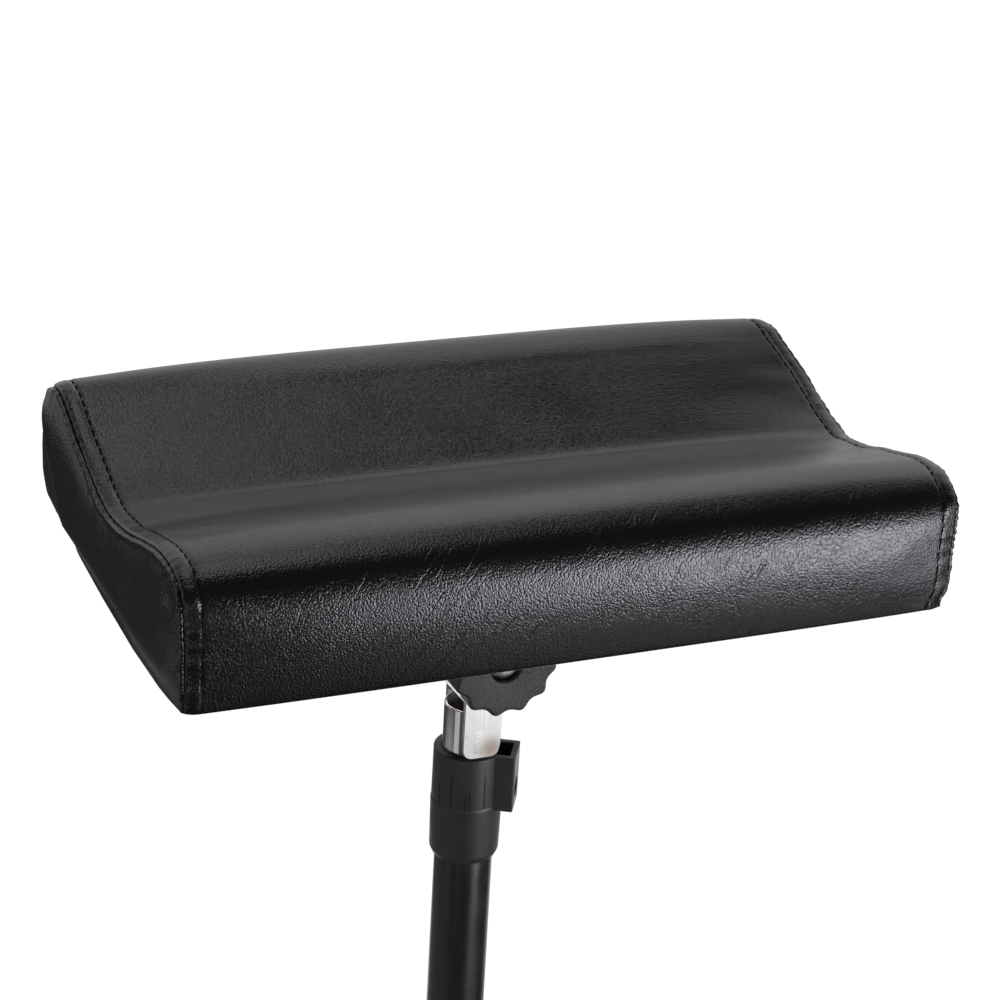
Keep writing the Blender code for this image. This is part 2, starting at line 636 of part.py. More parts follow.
def build_tilt_knob(finishes, spin):
    """The lobed knob with the clamp bolt's head sunk in its face."""
    sizes = {"radius": KNOB_RADIUS, "lobe": KNOB_LOBE, "lobes": KNOB_LOBES, "steps": KNOB_LOBE_STEPS,
             "first": KNOB_FIRST_LOBE, "thickness": KNOB_THICKNESS, "edge": KNOB_EDGE,
             "hub": KNOB_HUB_RADIUS, "hub_height": KNOB_HUB_HEIGHT, "bore": BOLT_HOLE,
             "recess": KNOB_RECESS_RADIUS, "recess_depth": KNOB_RECESS_DEPTH}
    turn = (math.pi / 2, 0.0, 0.0)
    place("tilt_knob", knob_mesh("tilt_knob", sizes), finishes["plastic"], spin, (0.0, 0.0, 0.0), turn)
    seat = KNOB_HUB_HEIGHT + KNOB_THICKNESS - KNOB_RECESS_DEPTH + SEAT_GAP
    back = 2 * SEAT_GAP + WASHER_THICKNESS + EAR_OUTER - LUG_INNER + M8_NUT_HEIGHT + BOLT_END
    head = prism(hexagon(M8_NUT_FLATS), M8_HEAD_HEIGHT, matrix=Matrix.Translation((0, 0, seat)))
    crown = M8_NUT_FLATS / 2
    dome = turned([(0, seat - CUT_OVERRUN), (crown + M8_HEAD_HEIGHT, seat - CUT_OVERRUN),
                   (crown * HEAD_CROWN_SHARE, seat + M8_HEAD_HEIGHT), (0, seat + M8_HEAD_HEIGHT)],
                  BOLT_STEPS)
    shank = rod(M8_RADIUS, -back, seat + M8_HEAD_HEIGHT / 2, BOLT_STEPS)
    mesh = joined("clamp_bolt", head, [("INTERSECT", dome), ("UNION", shank)])
    place("clamp_bolt", mesh, finishes["zinc"], spin, (0.0, 0.0, 0.0), turn)


def small_screw_mesh(length):
    return mesh_from(turned(headed_pin(SMALL_SCREW_RADIUS, length, SMALL_SCREW_HEAD,
                                       SMALL_SCREW_HEAD_HEIGHT), PIN_STEPS), "small_screw")


def radial_hole(radius, start, end, height, turn=0.0, bm=None):
    """A cutter along a radius of the column, at an angle round it."""
    direction = (math.cos(turn), math.sin(turn), 0.0)
    return rod(radius, start, end, bm=bm, matrix=along(direction, (0.0, 0.0, height)))


def build_column(finishes, column):
    """Outer tube, its bottom plug, the top collar with its nut, and the screws."""
    tube_bottom = COLUMN_CLEARANCE + PLUG_FLANGE + SEAT_GAP
    tube_top = COLLAR_BOTTOM + COLLAR_SEAT_HEIGHT - SEAT_GAP
    screw_hole = SMALL_SCREW_RADIUS + SEAT_GAP
    holes = radial_hole(screw_hole, 0.0, TUBE_RADIUS + CUT_OVERRUN, HUB_SCREW_HEIGHT, SCREW_TURN)
    radial_hole(screw_hole, 0.0, TUBE_RADIUS + CUT_OVERRUN, COLLAR_BOTTOM + COLLAR_SCREW_HEIGHT,
                SCREW_TURN, bm=holes)
    tube = pipe(TUBE_RADIUS, TUBE_BORE, tube_bottom, tube_top, COLUMN_STEPS)
    place("outer_tube", joined("outer_tube", tube, [("DIFFERENCE", holes)]), finishes["paint"], column)

    bore = TUBE_BORE - SEAT_GAP
    plug = turned([(0, COLUMN_CLEARANCE), (TUBE_RADIUS, COLUMN_CLEARANCE),
                   (TUBE_RADIUS, COLUMN_CLEARANCE + PLUG_FLANGE), (bore, COLUMN_CLEARANCE + PLUG_FLANGE),
                   (bore, PLUG_TOP), (0, PLUG_TOP)], COLUMN_STEPS)
    pilot = radial_hole(screw_hole, TUBE_RADIUS / 2, TUBE_RADIUS, HUB_SCREW_HEIGHT, SCREW_TURN)
    place("column_plug", joined("column_plug", plug, [("DIFFERENCE", pilot)]), finishes["plastic"], column)

    place("top_collar", top_collar_mesh(), finishes["plastic"], column)
    pocket_start = COLLAR_BORE + POCKET_WALL
    nut = mesh_from(hex_nut(M8_NUT_FLATS, M8_NUT_HEIGHT, BOLT_HOLE), "collar_nut")
    facing = (math.pi / 2, 0.0, math.pi / 2)
    place("collar_nut", nut, finishes["zinc"], column, (pocket_start + SEAT_GAP, 0.0, BOSS_HOLE_HEIGHT), facing)

    def set_screw_in(name, barrel, length, height):
        seat = barrel + SEAT_GAP
        place(name, small_screw_mesh(length), finishes["zinc"], column,
              (seat * math.cos(SCREW_TURN), seat * math.sin(SCREW_TURN), height),
              (math.pi / 2, 0.0, SCREW_TURN - math.pi / 2))

    set_screw_in("collar_screw", COLLAR_SKIRT_RADIUS, COLLAR_SKIRT_RADIUS - TUBE_BORE - SEAT_GAP,
                 COLLAR_BOTTOM + COLLAR_SCREW_HEIGHT)
    set_screw_in("hub_screw", BARREL_RADIUS, BARREL_RADIUS - TUBE_RADIUS / 2 - CUT_OVERRUN,
                 HUB_SCREW_HEIGHT)


def top_collar_mesh():
    """Moulded collar: skirt over the outer tube, bore for the mast, boss with a nut pocket."""
    bottom, top = COLLAR_BOTTOM, COLLAR_TOP
    shoulder = bottom + COLLAR_SKIRT_HEIGHT
    step = COLLAR_SKIRT_RADIUS - COLLAR_RADIUS
    body = turned([(0, bottom), (COLLAR_FOOT_RADIUS, bottom),
                   (COLLAR_SKIRT_RADIUS, bottom + COLLAR_CHAMFER_HEIGHT), (COLLAR_SKIRT_RADIUS, shoulder),
                   (COLLAR_RADIUS, shoulder + step), (COLLAR_RADIUS, top - COLLAR_EDGE),
                   (COLLAR_RADIUS - COLLAR_EDGE, top), (0, top)], COLUMN_STEPS)
    half = BOSS_WIDTH / 2
    boss = prism(rectangle(MAST_RADIUS, BOSS_REACH, -half, half), BOSS_HEIGHT,
                 matrix=Matrix.Translation((0.0, 0.0, top - BOSS_HEIGHT)))
    seat = bottom + COLLAR_SEAT_HEIGHT
    bore = turned([(0, bottom - CUT_OVERRUN), (BARREL_BORE, bottom - CUT_OVERRUN), (BARREL_BORE, seat),
                   (COLLAR_BORE, seat), (COLLAR_BORE, top - COLLAR_EDGE),
                   (COLLAR_BORE + COLLAR_EDGE + CUT_OVERRUN, top + CUT_OVERRUN), (0, top + CUT_OVERRUN)],
                  COLUMN_STEPS)
    wide = M8_NUT_FLATS / 2 + SEAT_GAP
    start = COLLAR_BORE + POCKET_WALL
    end = start + M8_NUT_HEIGHT + 2 * SEAT_GAP
    floor = BOSS_HOLE_HEIGHT - M8_NUT_FLATS / 2 / math.cos(math.pi / 6) - SEAT_GAP
    pocket = prism(rectangle(start, end, -wide, wide), top + CUT_OVERRUN - floor,
                   matrix=Matrix.Translation((0.0, 0.0, floor)))
    mouth = radial_hole(BOSS_HOLE_RADIUS, (start + end) / 2, BOSS_REACH + CUT_OVERRUN, BOSS_HOLE_HEIGHT)
    inner = radial_hole(BOLT_HOLE, MAST_RADIUS / 2, (start + end) / 2, BOSS_HOLE_HEIGHT)
    screw = radial_hole(SMALL_SCREW_RADIUS + SEAT_GAP, TUBE_BORE, COLLAR_SKIRT_RADIUS + CUT_OVERRUN,
                        bottom + COLLAR_SCREW_HEIGHT, SCREW_TURN)
    return joined("top_collar", body, [("UNION", boss), ("DIFFERENCE", bore), ("DIFFERENCE", pocket),
                                       ("DIFFERENCE", mouth), ("DIFFERENCE", inner),
                                       ("DIFFERENCE", screw)])


def build_set_screw(finishes, spin):
    """The headless screw in the boss that holds the mast's height."""
    body = rod(M8_RADIUS, 0.0, SET_SCREW_LENGTH, BOLT_STEPS)
    socket = prism(hexagon(SET_SCREW_SOCKET), SET_SCREW_SOCKET_DEPTH + CUT_OVERRUN,
                   matrix=Matrix.Translation((0.0, 0.0, SET_SCREW_LENGTH - SET_SCREW_SOCKET_DEPTH)))
    mesh = joined("height_set_screw", body, [("DIFFERENCE", socket)])
    place("height_set_screw", mesh, finishes["zinc"], spin, (MAST_RADIUS + RUNNING_GAP, 0.0, 0.0),
          (0.0, math.pi / 2, 0.0))


def nose_outline(root, reach, half_height):
    """A tongue in radius and height: flat at its root, round about its pivot."""
    nose = circle(half_height, NOSE_STEPS, (reach, 0.0), -math.pi / 2, math.pi)
    return [(root, half_height), (root, -half_height)] + nose


def radial_plate(outline, middle, thickness, turn, height, bm):
    """A plate standing on a radius: the outline in radius and height, centred across."""
    upright = Matrix.Rotation(math.pi / 2, 4, "X")
    shift = Matrix.Translation((0.0, middle + thickness / 2, height))
    prism(outline, thickness, bm=bm, matrix=Matrix.Rotation(turn, 4, "Z") @ shift @ upright)


def across_rod(radius, reach, half_length, turn, height, bm):
    """A cutter across a radius, through a pivot."""
    lie = Matrix.Translation((reach, -half_length, height)) @ along((0.0, 1.0, 0.0))
    rod(radius, 0.0, 2 * half_length, bm=bm, matrix=Matrix.Rotation(turn, 4, "Z") @ lie)


def leg_turns():
    return [LEG_FIRST_TURN + 2 * math.pi * i / LEG_COUNT for i in range(LEG_COUNT)]


def build_hub(finishes, column):
    """Fixed hub at the column's foot, with a lug for each brace."""
    body = rod(BARREL_RADIUS, HUB_BOTTOM, HUB_TOP, COLUMN_STEPS)
    lugs = bmesh.new()
    pins = bmesh.new()
    for turn in leg_turns():
        outline = nose_outline(TUBE_RADIUS + TUBE_WALL, PIVOT_REACH, PIVOT_NOSE)
        radial_plate(outline, 0.0, HUB_LUG_WIDTH, turn, HUB_PIVOT_HEIGHT, lugs)
        across_rod(PIN_HOLE, PIVOT_REACH, FORK_GAP, turn, HUB_PIVOT_HEIGHT, pins)
    bore = rod(BARREL_BORE, HUB_BOTTOM - CUT_OVERRUN, HUB_TOP + CUT_OVERRUN, COLUMN_STEPS)
    screw = radial_hole(SMALL_SCREW_RADIUS + SEAT_GAP, TUBE_BORE, BARREL_RADIUS + CUT_OVERRUN,
                        HUB_SCREW_HEIGHT, SCREW_TURN)
    mesh = joined("lower_hub", body, [("UNION", lugs), ("DIFFERENCE", bore), ("DIFFERENCE", pins),
                                      ("DIFFERENCE", screw)])
    place("lower_hub", mesh, finishes["plastic"], column)


def build_leg_collar(finishes, slide):
    """Sliding collar with a fork for each leg's top, and the lock knob's boss."""
    half = LEG_COLLAR_HEIGHT / 2
    body = rod(BARREL_RADIUS, -half, half, COLUMN_STEPS)
    ears = bmesh.new()
    pins = bmesh.new()
    across = FORK_GAP / 2 + EAR_THICKNESS / 2
    for turn in leg_turns():
        for side in (-1, 1):
            outline = nose_outline(TUBE_RADIUS, PIVOT_REACH, LEG_EAR_NOSE)
            radial_plate(outline, side * across, EAR_THICKNESS, turn, 0.0, ears)
        across_rod(PIN_HOLE, PIVOT_REACH, FORK_GAP, turn, 0.0, pins)
    wide = LOCK_BOSS_WIDTH / 2
    boss = prism(rectangle(TUBE_RADIUS, LOCK_BOSS_REACH, -wide, wide), LOCK_BOSS_HEIGHT,
                 matrix=Matrix.Translation((0.0, 0.0, -LOCK_BOSS_HEIGHT / 2)))
    bore = rod(BARREL_BORE, -half - CUT_OVERRUN, half + CUT_OVERRUN, COLUMN_STEPS)
    start = BARREL_BORE + EAR_THICKNESS / 2
    nut_wide = M6_NUT_FLATS / 2 + SEAT_GAP
    floor = -M6_NUT_FLATS / 2 / math.cos(math.pi / 6) - SEAT_GAP
    pocket = prism(rectangle(start, start + M6_NUT_HEIGHT + 2 * SEAT_GAP, -nut_wide, nut_wide),
                   half + CUT_OVERRUN - floor, matrix=Matrix.Translation((0.0, 0.0, floor)))
    stud = radial_hole(PIN_HOLE, TUBE_BORE, LOCK_BOSS_REACH + CUT_OVERRUN, 0.0)
    mesh = joined("leg_collar", body, [("UNION", ears), ("UNION", boss), ("DIFFERENCE", bore),
                                       ("DIFFERENCE", pins), ("DIFFERENCE", pocket),
                                       ("DIFFERENCE", stud)])
    place("leg_collar", mesh, finishes["plastic"], slide)
    nut = mesh_from(hex_nut(M6_NUT_FLATS, M6_NUT_HEIGHT, PIN_HOLE), "leg_lock_nut")
    place("leg_lock_nut", nut, finishes["zinc"], slide, (start + SEAT_GAP, 0.0, 0.0),
          (math.pi / 2, 0.0, math.pi / 2))
    head = mesh_from(turned(headed_pin(M6_RADIUS, EAR_THICKNESS, RIVET_HEAD, RIVET_HEAD_HEIGHT),
                            PIN_STEPS), "leg_rivet_head")
    tail = mesh_from(turned(headed_pin(M6_RADIUS, EAR_THICKNESS, RIVET_TAIL, RIVET_TAIL_HEIGHT, False),
                            PIN_STEPS), "leg_rivet_tail")
    outer = FORK_GAP / 2 + EAR_THICKNESS + SEAT_GAP
    for i, turn in enumerate(leg_turns()):
        fork = joint_empty(f"fork_{i + 1}", (0.0, 0.0, 0.0), (0.0, 0.0, turn), slide)
        place(f"leg_rivet_head_{i + 1}", head, finishes["zinc"], fork, (PIVOT_REACH, -outer, 0.0),
              (-math.pi / 2, 0.0, 0.0))
        place(f"leg_rivet_tail_{i + 1}", tail, finishes["zinc"], fork, (PIVOT_REACH, outer, 0.0),
              (math.pi / 2, 0.0, 0.0))


def build_lock_knob(finishes, spin):
    """The leg collar's lock knob on its stud."""
    back = LOCK_BOSS_REACH + RUNNING_GAP
    face = LOCK_KNOB_HUB_HEIGHT + LOCK_KNOB_THICKNESS
    depth = face - LOCK_STUD_COVER
    sizes = {"radius": LOCK_KNOB_RADIUS, "lobe": LOCK_KNOB_LOBE, "lobes": LOCK_KNOB_LOBES,
             "steps": LOCK_KNOB_LOBE_STEPS, "first": 0.0, "edge": LOCK_KNOB_EDGE,
             "hub": LOCK_KNOB_HUB_RADIUS, "hub_height": LOCK_KNOB_HUB_HEIGHT,
             "thickness": LOCK_KNOB_THICKNESS, "bore": PIN_HOLE, "depth": depth}
    out = (0.0, math.pi / 2, 0.0)
    place("leg_lock_knob", blind_knob_mesh("leg_lock_knob", sizes), finishes["plastic"], spin,
          (back, 0.0, 0.0), out)
    tip = TUBE_RADIUS + RUNNING_GAP
    stud = rod(M6_RADIUS, tip, back + depth - SEAT_GAP)
    place("leg_lock_stud", mesh_from(stud, "leg_lock_stud"), finishes["zinc"], spin, turn=out)


def blind_knob_mesh(name, sizes):
    """A lobed knob with a plain face and a blind hole in its back."""
    outline = lobed(sizes["radius"], sizes["lobe"], sizes["lobes"], sizes["steps"], sizes["first"])
    face = sizes["hub_height"] + sizes["thickness"]
    slim = (sizes["radius"] - sizes["edge"]) / sizes["radius"]
    rows = [("plain", sizes["bore"], 0.0), ("plain", sizes["hub"], 0.0),
            ("plain", sizes["hub"], sizes["hub_height"]), ("wavy", slim, sizes["hub_height"]),
            ("wavy", 1.0, sizes["hub_height"] + sizes["edge"]), ("wavy", 1.0, face - sizes["edge"]),
            ("wavy", slim, face)]
    bm = bmesh.new()
    loops = []
    for kind, size, height in rows:
        ring = []
        for x, y in outline:
            scale = size if kind == "wavy" else size / math.hypot(x, y)
            ring.append(bm.verts.new((x * scale, y * scale, height)))
        loops.append(ring)
    bottom = [bm.verts.new((vert.co.x, vert.co.y, sizes["depth"])) for vert in loops[0]]
    loops.insert(0, bottom)
    for lower, upper in zip(loops, loops[1:]):
        for i in range(len(lower)):
            j = (i + 1) % len(lower)
            bm.faces.new((lower[i], lower[j], upper[j], upper[i]))
    bm.faces.new(list(reversed(loops[0])))
    bm.faces.new(loops[-1])
    return mesh_from(bm, name)


def brace_mesh():
    """A pressed channel from the hub's pivot at 0 up to the leg's pivot."""
    inner = FORK_GAP / 2 + SEAT_GAP
    outer = inner + BRACE_SHEET
    web = BRACE_WEB_OFFSET
    low = -PIVOT_NOSE
    section = [(low, -outer), (web + BRACE_SHEET, -outer), (web + BRACE_SHEET, outer), (low, outer),
               (low, inner), (web, inner), (web, -inner), (low, -inner)]
    over = PIVOT_NOSE + CUT_OVERRUN
    channel = prism([(-x, y) for x, y in section], LINK_LENGTH + 2 * over,
                    matrix=Matrix.Translation((0.0, 0.0, -over)))
    start, end = BRACE_WEB_START, LINK_LENGTH - BRACE_WEB_END
    crest = -(web + BRACE_SHEET + CUT_OVERRUN)
    side = circle(PIVOT_NOSE, NOSE_STEPS, (0.0, 0.0), math.pi, math.pi)
    side += circle(PIVOT_NOSE, NOSE_STEPS, (0.0, LINK_LENGTH), 0.0, math.pi)
    side += [(-PIVOT_NOSE, end + BRACE_WEB_RAMP), (crest, end), (crest, start),
             (-PIVOT_NOSE, start - BRACE_WEB_RAMP)]
    upright = Matrix.Translation((0.0, outer + CUT_OVERRUN, 0.0)) @ Matrix.Rotation(math.pi / 2, 4, "X")
    silhouette = prism(side, 2 * (outer + CUT_OVERRUN), matrix=upright)
    pins = bmesh.new()
    for height in (0.0, LINK_LENGTH):
        rod(PIN_HOLE, -outer - CUT_OVERRUN, outer + CUT_OVERRUN, bm=pins,
            matrix=along((0.0, 1.0, 0.0), (0.0, 0.0, height)))
    return joined("brace", channel, [("INTERSECT", silhouette), ("DIFFERENCE", pins)])


def leg_tube_mesh():
    """The leg about its brace pivot: the foot below, the top pivot above."""
    below = LEG_LENGTH - LINK_LENGTH
    above = LINK_LENGTH - CAP_COLLAR - SEAT_GAP
    tube = pipe(LEG_RADIUS, LEG_RADIUS - LEG_WALL, -below, above, LEG_STEPS)
    hole = rod(PIN_HOLE, -LEG_RADIUS - CUT_OVERRUN, LEG_RADIUS + CUT_OVERRUN,
               matrix=along((0.0, 1.0, 0.0)))
    return joined("leg_tube", tube, [("DIFFERENCE", hole)])


def leg_cap_mesh():
    """Round-topped plug in the leg's top, centred on the top pivot."""
    stub = LEG_RADIUS - LEG_WALL - SEAT_GAP
    dome = [(LEG_RADIUS * math.cos(angle), LINK_LENGTH + LEG_RADIUS * math.sin(angle))
            for angle in (math.pi / 2 * i / CAP_STEPS for i in range(CAP_STEPS))]
    base = LINK_LENGTH - CAP_COLLAR
    profile = [(0, base - CAP_STUB), (stub, base - CAP_STUB), (stub, base), (LEG_RADIUS, base)]
    profile += dome + [(0, LINK_LENGTH + LEG_RADIUS)]
    hole = rod(PIN_HOLE, -LEG_RADIUS - CUT_OVERRUN, LEG_RADIUS + CUT_OVERRUN,
               matrix=along((0.0, 1.0, 0.0), (0.0, 0.0, LINK_LENGTH)))
    return joined("leg_cap", turned(profile, LEG_STEPS), [("DIFFERENCE", hole)])


def foot_mesh():
    """A rubber boot on the leg's end, with a sole cut level with the floor."""
    end = -(LEG_LENGTH - LINK_LENGTH)
    inner = LEG_RADIUS + SEAT_GAP
    bottom = end - FOOT_END
    top = end + FOOT_COVER
    profile = [(0, bottom), (FOOT_RADIUS - FOOT_EDGE, bottom), (FOOT_RADIUS, bottom + FOOT_EDGE),
               (FOOT_RADIUS, top - FOOT_EDGE), (FOOT_RADIUS - FOOT_EDGE / 2, top), (inner, top),
               (inner, end - SEAT_GAP), (0, end - SEAT_GAP)]
    bm = turned(profile, LEG_STEPS)
    pivot_height = HUB_PIVOT_HEIGHT + LINK_LENGTH * math.cos(OPEN_ANGLE)
    down = Vector((-math.sin(OPEN_ANGLE), 0.0, -math.cos(OPEN_ANGLE)))
    geometry = bm.verts[:] + bm.edges[:] + bm.faces[:]
    cut = bmesh.ops.bisect_plane(bm, geom=geometry, plane_co=down * pivot_height, plane_no=down,
                                 clear_outer=True)
    rim = [item for item in cut["geom_cut"] if isinstance(item, bmesh.types.BMEdge)]
    bmesh.ops.contextual_create(bm, geom=rim)
    return mesh_from(bm, "foot")


def build_tripod(finishes, column):
    """Braces and legs on their own pivots, one set for each leg."""
    brace = brace_mesh()
    tube = leg_tube_mesh()
    cap = leg_cap_mesh()
    foot = foot_mesh()
    grip = FORK_GAP + 2 * (2 * SEAT_GAP + BRACE_SHEET)
    pin = mesh_from(turned(rivet(grip), PIN_STEPS), "brace_rivet")
    reach_x = PIVOT_REACH + LINK_LENGTH * math.sin(OPEN_ANGLE)
    reach_z = HUB_PIVOT_HEIGHT + LINK_LENGTH * math.cos(OPEN_ANGLE)
    sideways = (-math.pi / 2, 0.0, 0.0)
    for i, turn in enumerate(leg_turns()):
        number = i + 1
        spoke = joint_empty(f"spoke_{number}", (0.0, 0.0, 0.0), (0.0, 0.0, turn), column)
        hinge = joint_empty(f"brace_axis_{number}", (PIVOT_REACH, 0.0, HUB_PIVOT_HEIGHT),
                            (0.0, OPEN_ANGLE, 0.0), spoke)
        place(f"brace_{number}", brace, finishes["paint"], hinge)
        place(f"brace_rivet_{number}", pin, finishes["zinc"], hinge, (0.0, -grip / 2, LINK_LENGTH),
              sideways)
        place(f"hub_rivet_{number}", pin, finishes["zinc"], spoke,
              (PIVOT_REACH, -grip / 2, HUB_PIVOT_HEIGHT), sideways)
        knee = joint_empty(f"leg_axis_{number}", (reach_x, 0.0, reach_z), (0.0, -OPEN_ANGLE, 0.0), spoke)
        place(f"leg_tube_{number}", tube, finishes["paint"], knee)
        place(f"leg_cap_{number}", cap, finishes["plastic"], knee)
        place(f"foot_{number}", foot, finishes["rubber"], knee)


def main():
    clear_scene()
    finishes = {
        "cover": finish("black_leatherette", (0.028, 0.028, 0.030), 0.42, 0.0),
        "board": finish("plywood", (0.50, 0.36, 0.21), 0.7, 0.0),
        "cloth": finish("bottom_cloth", (0.02, 0.02, 0.02), 0.95, 0.0),
        "chrome": finish("chrome_plate", (0.78, 0.78, 0.79), 0.12, 1.0),
        "zinc": finish("zinc_plate", (0.62, 0.62, 0.60), 0.35, 1.0),
        "plastic": finish("black_plastic", (0.035, 0.035, 0.036), 0.45, 0.0),
        "paint": finish("black_paint", (0.022, 0.022, 0.023), 0.35, 0.0),
        "rubber": finish("black_rubber", (0.02, 0.02, 0.02), 0.85, 0.0),
    }
    column = joint_empty("column", (0.0, 0.0, 0.0), (0.0, 0.0, BASE_TURN))
    guide = joint_empty("height_slide", (0.0, 0.0, MAST_BOTTOM))
    swivel = joint_empty("head_swivel", (0.0, 0.0, 0.0), parent=guide)
    tilt = joint_empty("pad_tilt", (0.0, 0.0, PIVOT_HEIGHT - MAST_BOTTOM), parent=swivel)
    knob_back = EAR_OUTER + WASHER_THICKNESS + 2 * SEAT_GAP
    knob = joint_empty("tilt_knob_spin", (0.0, -knob_back, CLAMP_HEIGHT - MAST_BOTTOM), parent=swivel)
    set_screw = joint_empty("set_screw_spin", (0.0, 0.0, BOSS_HOLE_HEIGHT), parent=column)
    slide = joint_empty("leg_collar_slide", (0.0, 0.0, LEG_COLLAR_REST), parent=column)
    lock = joint_empty("lock_knob_spin", (0.0, 0.0, 0.0), parent=slide)
    build_pad(finishes, tilt)
    build_mast(finishes, swivel, guide)
    build_tilt_knob(finishes, knob)
    build_column(finishes, column)
    build_set_screw(finishes, set_screw)
    build_hub(finishes, column)
    build_leg_collar(finishes, slide)
    build_lock_knob(finishes, lock)
    build_tripod(finishes, column)


main()
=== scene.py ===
import json
import math

import bmesh
import bpy
import numpy as np
from mathutils import Matrix, Vector, noise

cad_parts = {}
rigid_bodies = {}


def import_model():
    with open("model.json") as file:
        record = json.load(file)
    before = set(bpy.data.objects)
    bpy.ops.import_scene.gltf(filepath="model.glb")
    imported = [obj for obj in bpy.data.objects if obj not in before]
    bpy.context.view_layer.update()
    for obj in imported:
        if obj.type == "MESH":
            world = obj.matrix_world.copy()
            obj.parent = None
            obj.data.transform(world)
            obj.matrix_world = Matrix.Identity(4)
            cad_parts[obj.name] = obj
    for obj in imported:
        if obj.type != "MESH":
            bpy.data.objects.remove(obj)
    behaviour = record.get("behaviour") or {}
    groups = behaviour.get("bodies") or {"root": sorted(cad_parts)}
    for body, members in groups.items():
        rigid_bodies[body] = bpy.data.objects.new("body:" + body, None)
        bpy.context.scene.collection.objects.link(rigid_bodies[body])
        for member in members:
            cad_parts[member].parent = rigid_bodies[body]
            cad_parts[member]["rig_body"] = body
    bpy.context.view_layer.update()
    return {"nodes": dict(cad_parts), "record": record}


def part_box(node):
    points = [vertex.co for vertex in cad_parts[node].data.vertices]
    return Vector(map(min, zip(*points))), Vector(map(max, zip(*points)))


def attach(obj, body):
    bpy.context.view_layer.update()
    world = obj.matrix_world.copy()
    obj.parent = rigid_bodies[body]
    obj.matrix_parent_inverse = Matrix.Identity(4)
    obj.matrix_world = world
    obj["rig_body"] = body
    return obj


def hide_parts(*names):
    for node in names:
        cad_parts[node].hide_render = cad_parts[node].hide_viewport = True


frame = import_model()
print("frame loaded")

# Shared places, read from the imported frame
padLow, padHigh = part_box("pad_cushion")
padLevel = padLow.z
footTurn = math.radians(-30)  # the column's collars are turned this far about Z


# Node helpers

def addNode(tree, kind, inputs=None, **settings):
    made = tree.nodes.new("ShaderNode" + kind)
    for key, value in settings.items():
        setattr(made, key, value)
    for key, value in (inputs or {}).items():
        if isinstance(value, bpy.types.NodeSocket):
            tree.links.new(value, made.inputs[key])
        else:
            made.inputs[key].default_value = value
    return made


def mathNode(tree, operation, first, second=0.0, third=None):
    inputs = {0: first, 1: second}
    if third is not None:
        inputs[2] = third
    return addNode(tree, "Math", inputs, operation=operation).outputs[0]


def rangeNode(tree, value, fromMin, fromMax, toMin, toMax):
    inputs = {"Value": value, "From Min": fromMin, "From Max": fromMax, "To Min": toMin, "To Max": toMax}
    return addNode(tree, "MapRange", inputs, interpolation_type="SMOOTHSTEP").outputs["Result"]


def stretchedPlace(tree, scale, turn=(0.0, 0.0, 0.0)):
    place = addNode(tree, "TexCoord").outputs["Object"]
    turned = addNode(tree, "Mapping", {"Vector": place, "Rotation": turn}).outputs["Vector"]
    return addNode(tree, "Mapping", {"Vector": turned, "Scale": scale}).outputs["Vector"]


def startGroup(name, inputs, outputs, vector=None):
    group = bpy.data.node_groups.new(name, "ShaderNodeTree")
    if vector:
        group.interface.new_socket(vector, in_out="INPUT", socket_type="NodeSocketVector")
    for label, value in inputs:
        socket = group.interface.new_socket(label, in_out="INPUT", socket_type="NodeSocketFloat")
        socket.default_value = value
    for label in outputs:
        group.interface.new_socket(label, in_out="OUTPUT", socket_type="NodeSocketFloat")
    given = group.nodes.new("NodeGroupInput")
    result = group.nodes.new("NodeGroupOutput")
    return group, given.outputs, result.inputs


def useGroup(tree, group, **values):
    made = tree.nodes.new("ShaderNodeGroup")
    made.node_tree = group
    for key, value in values.items():
        if isinstance(value, bpy.types.NodeSocket):
            tree.links.new(value, made.inputs[key])
        else:
            made.inputs[key].default_value = value
    return made.outputs


# Effects that several materials share

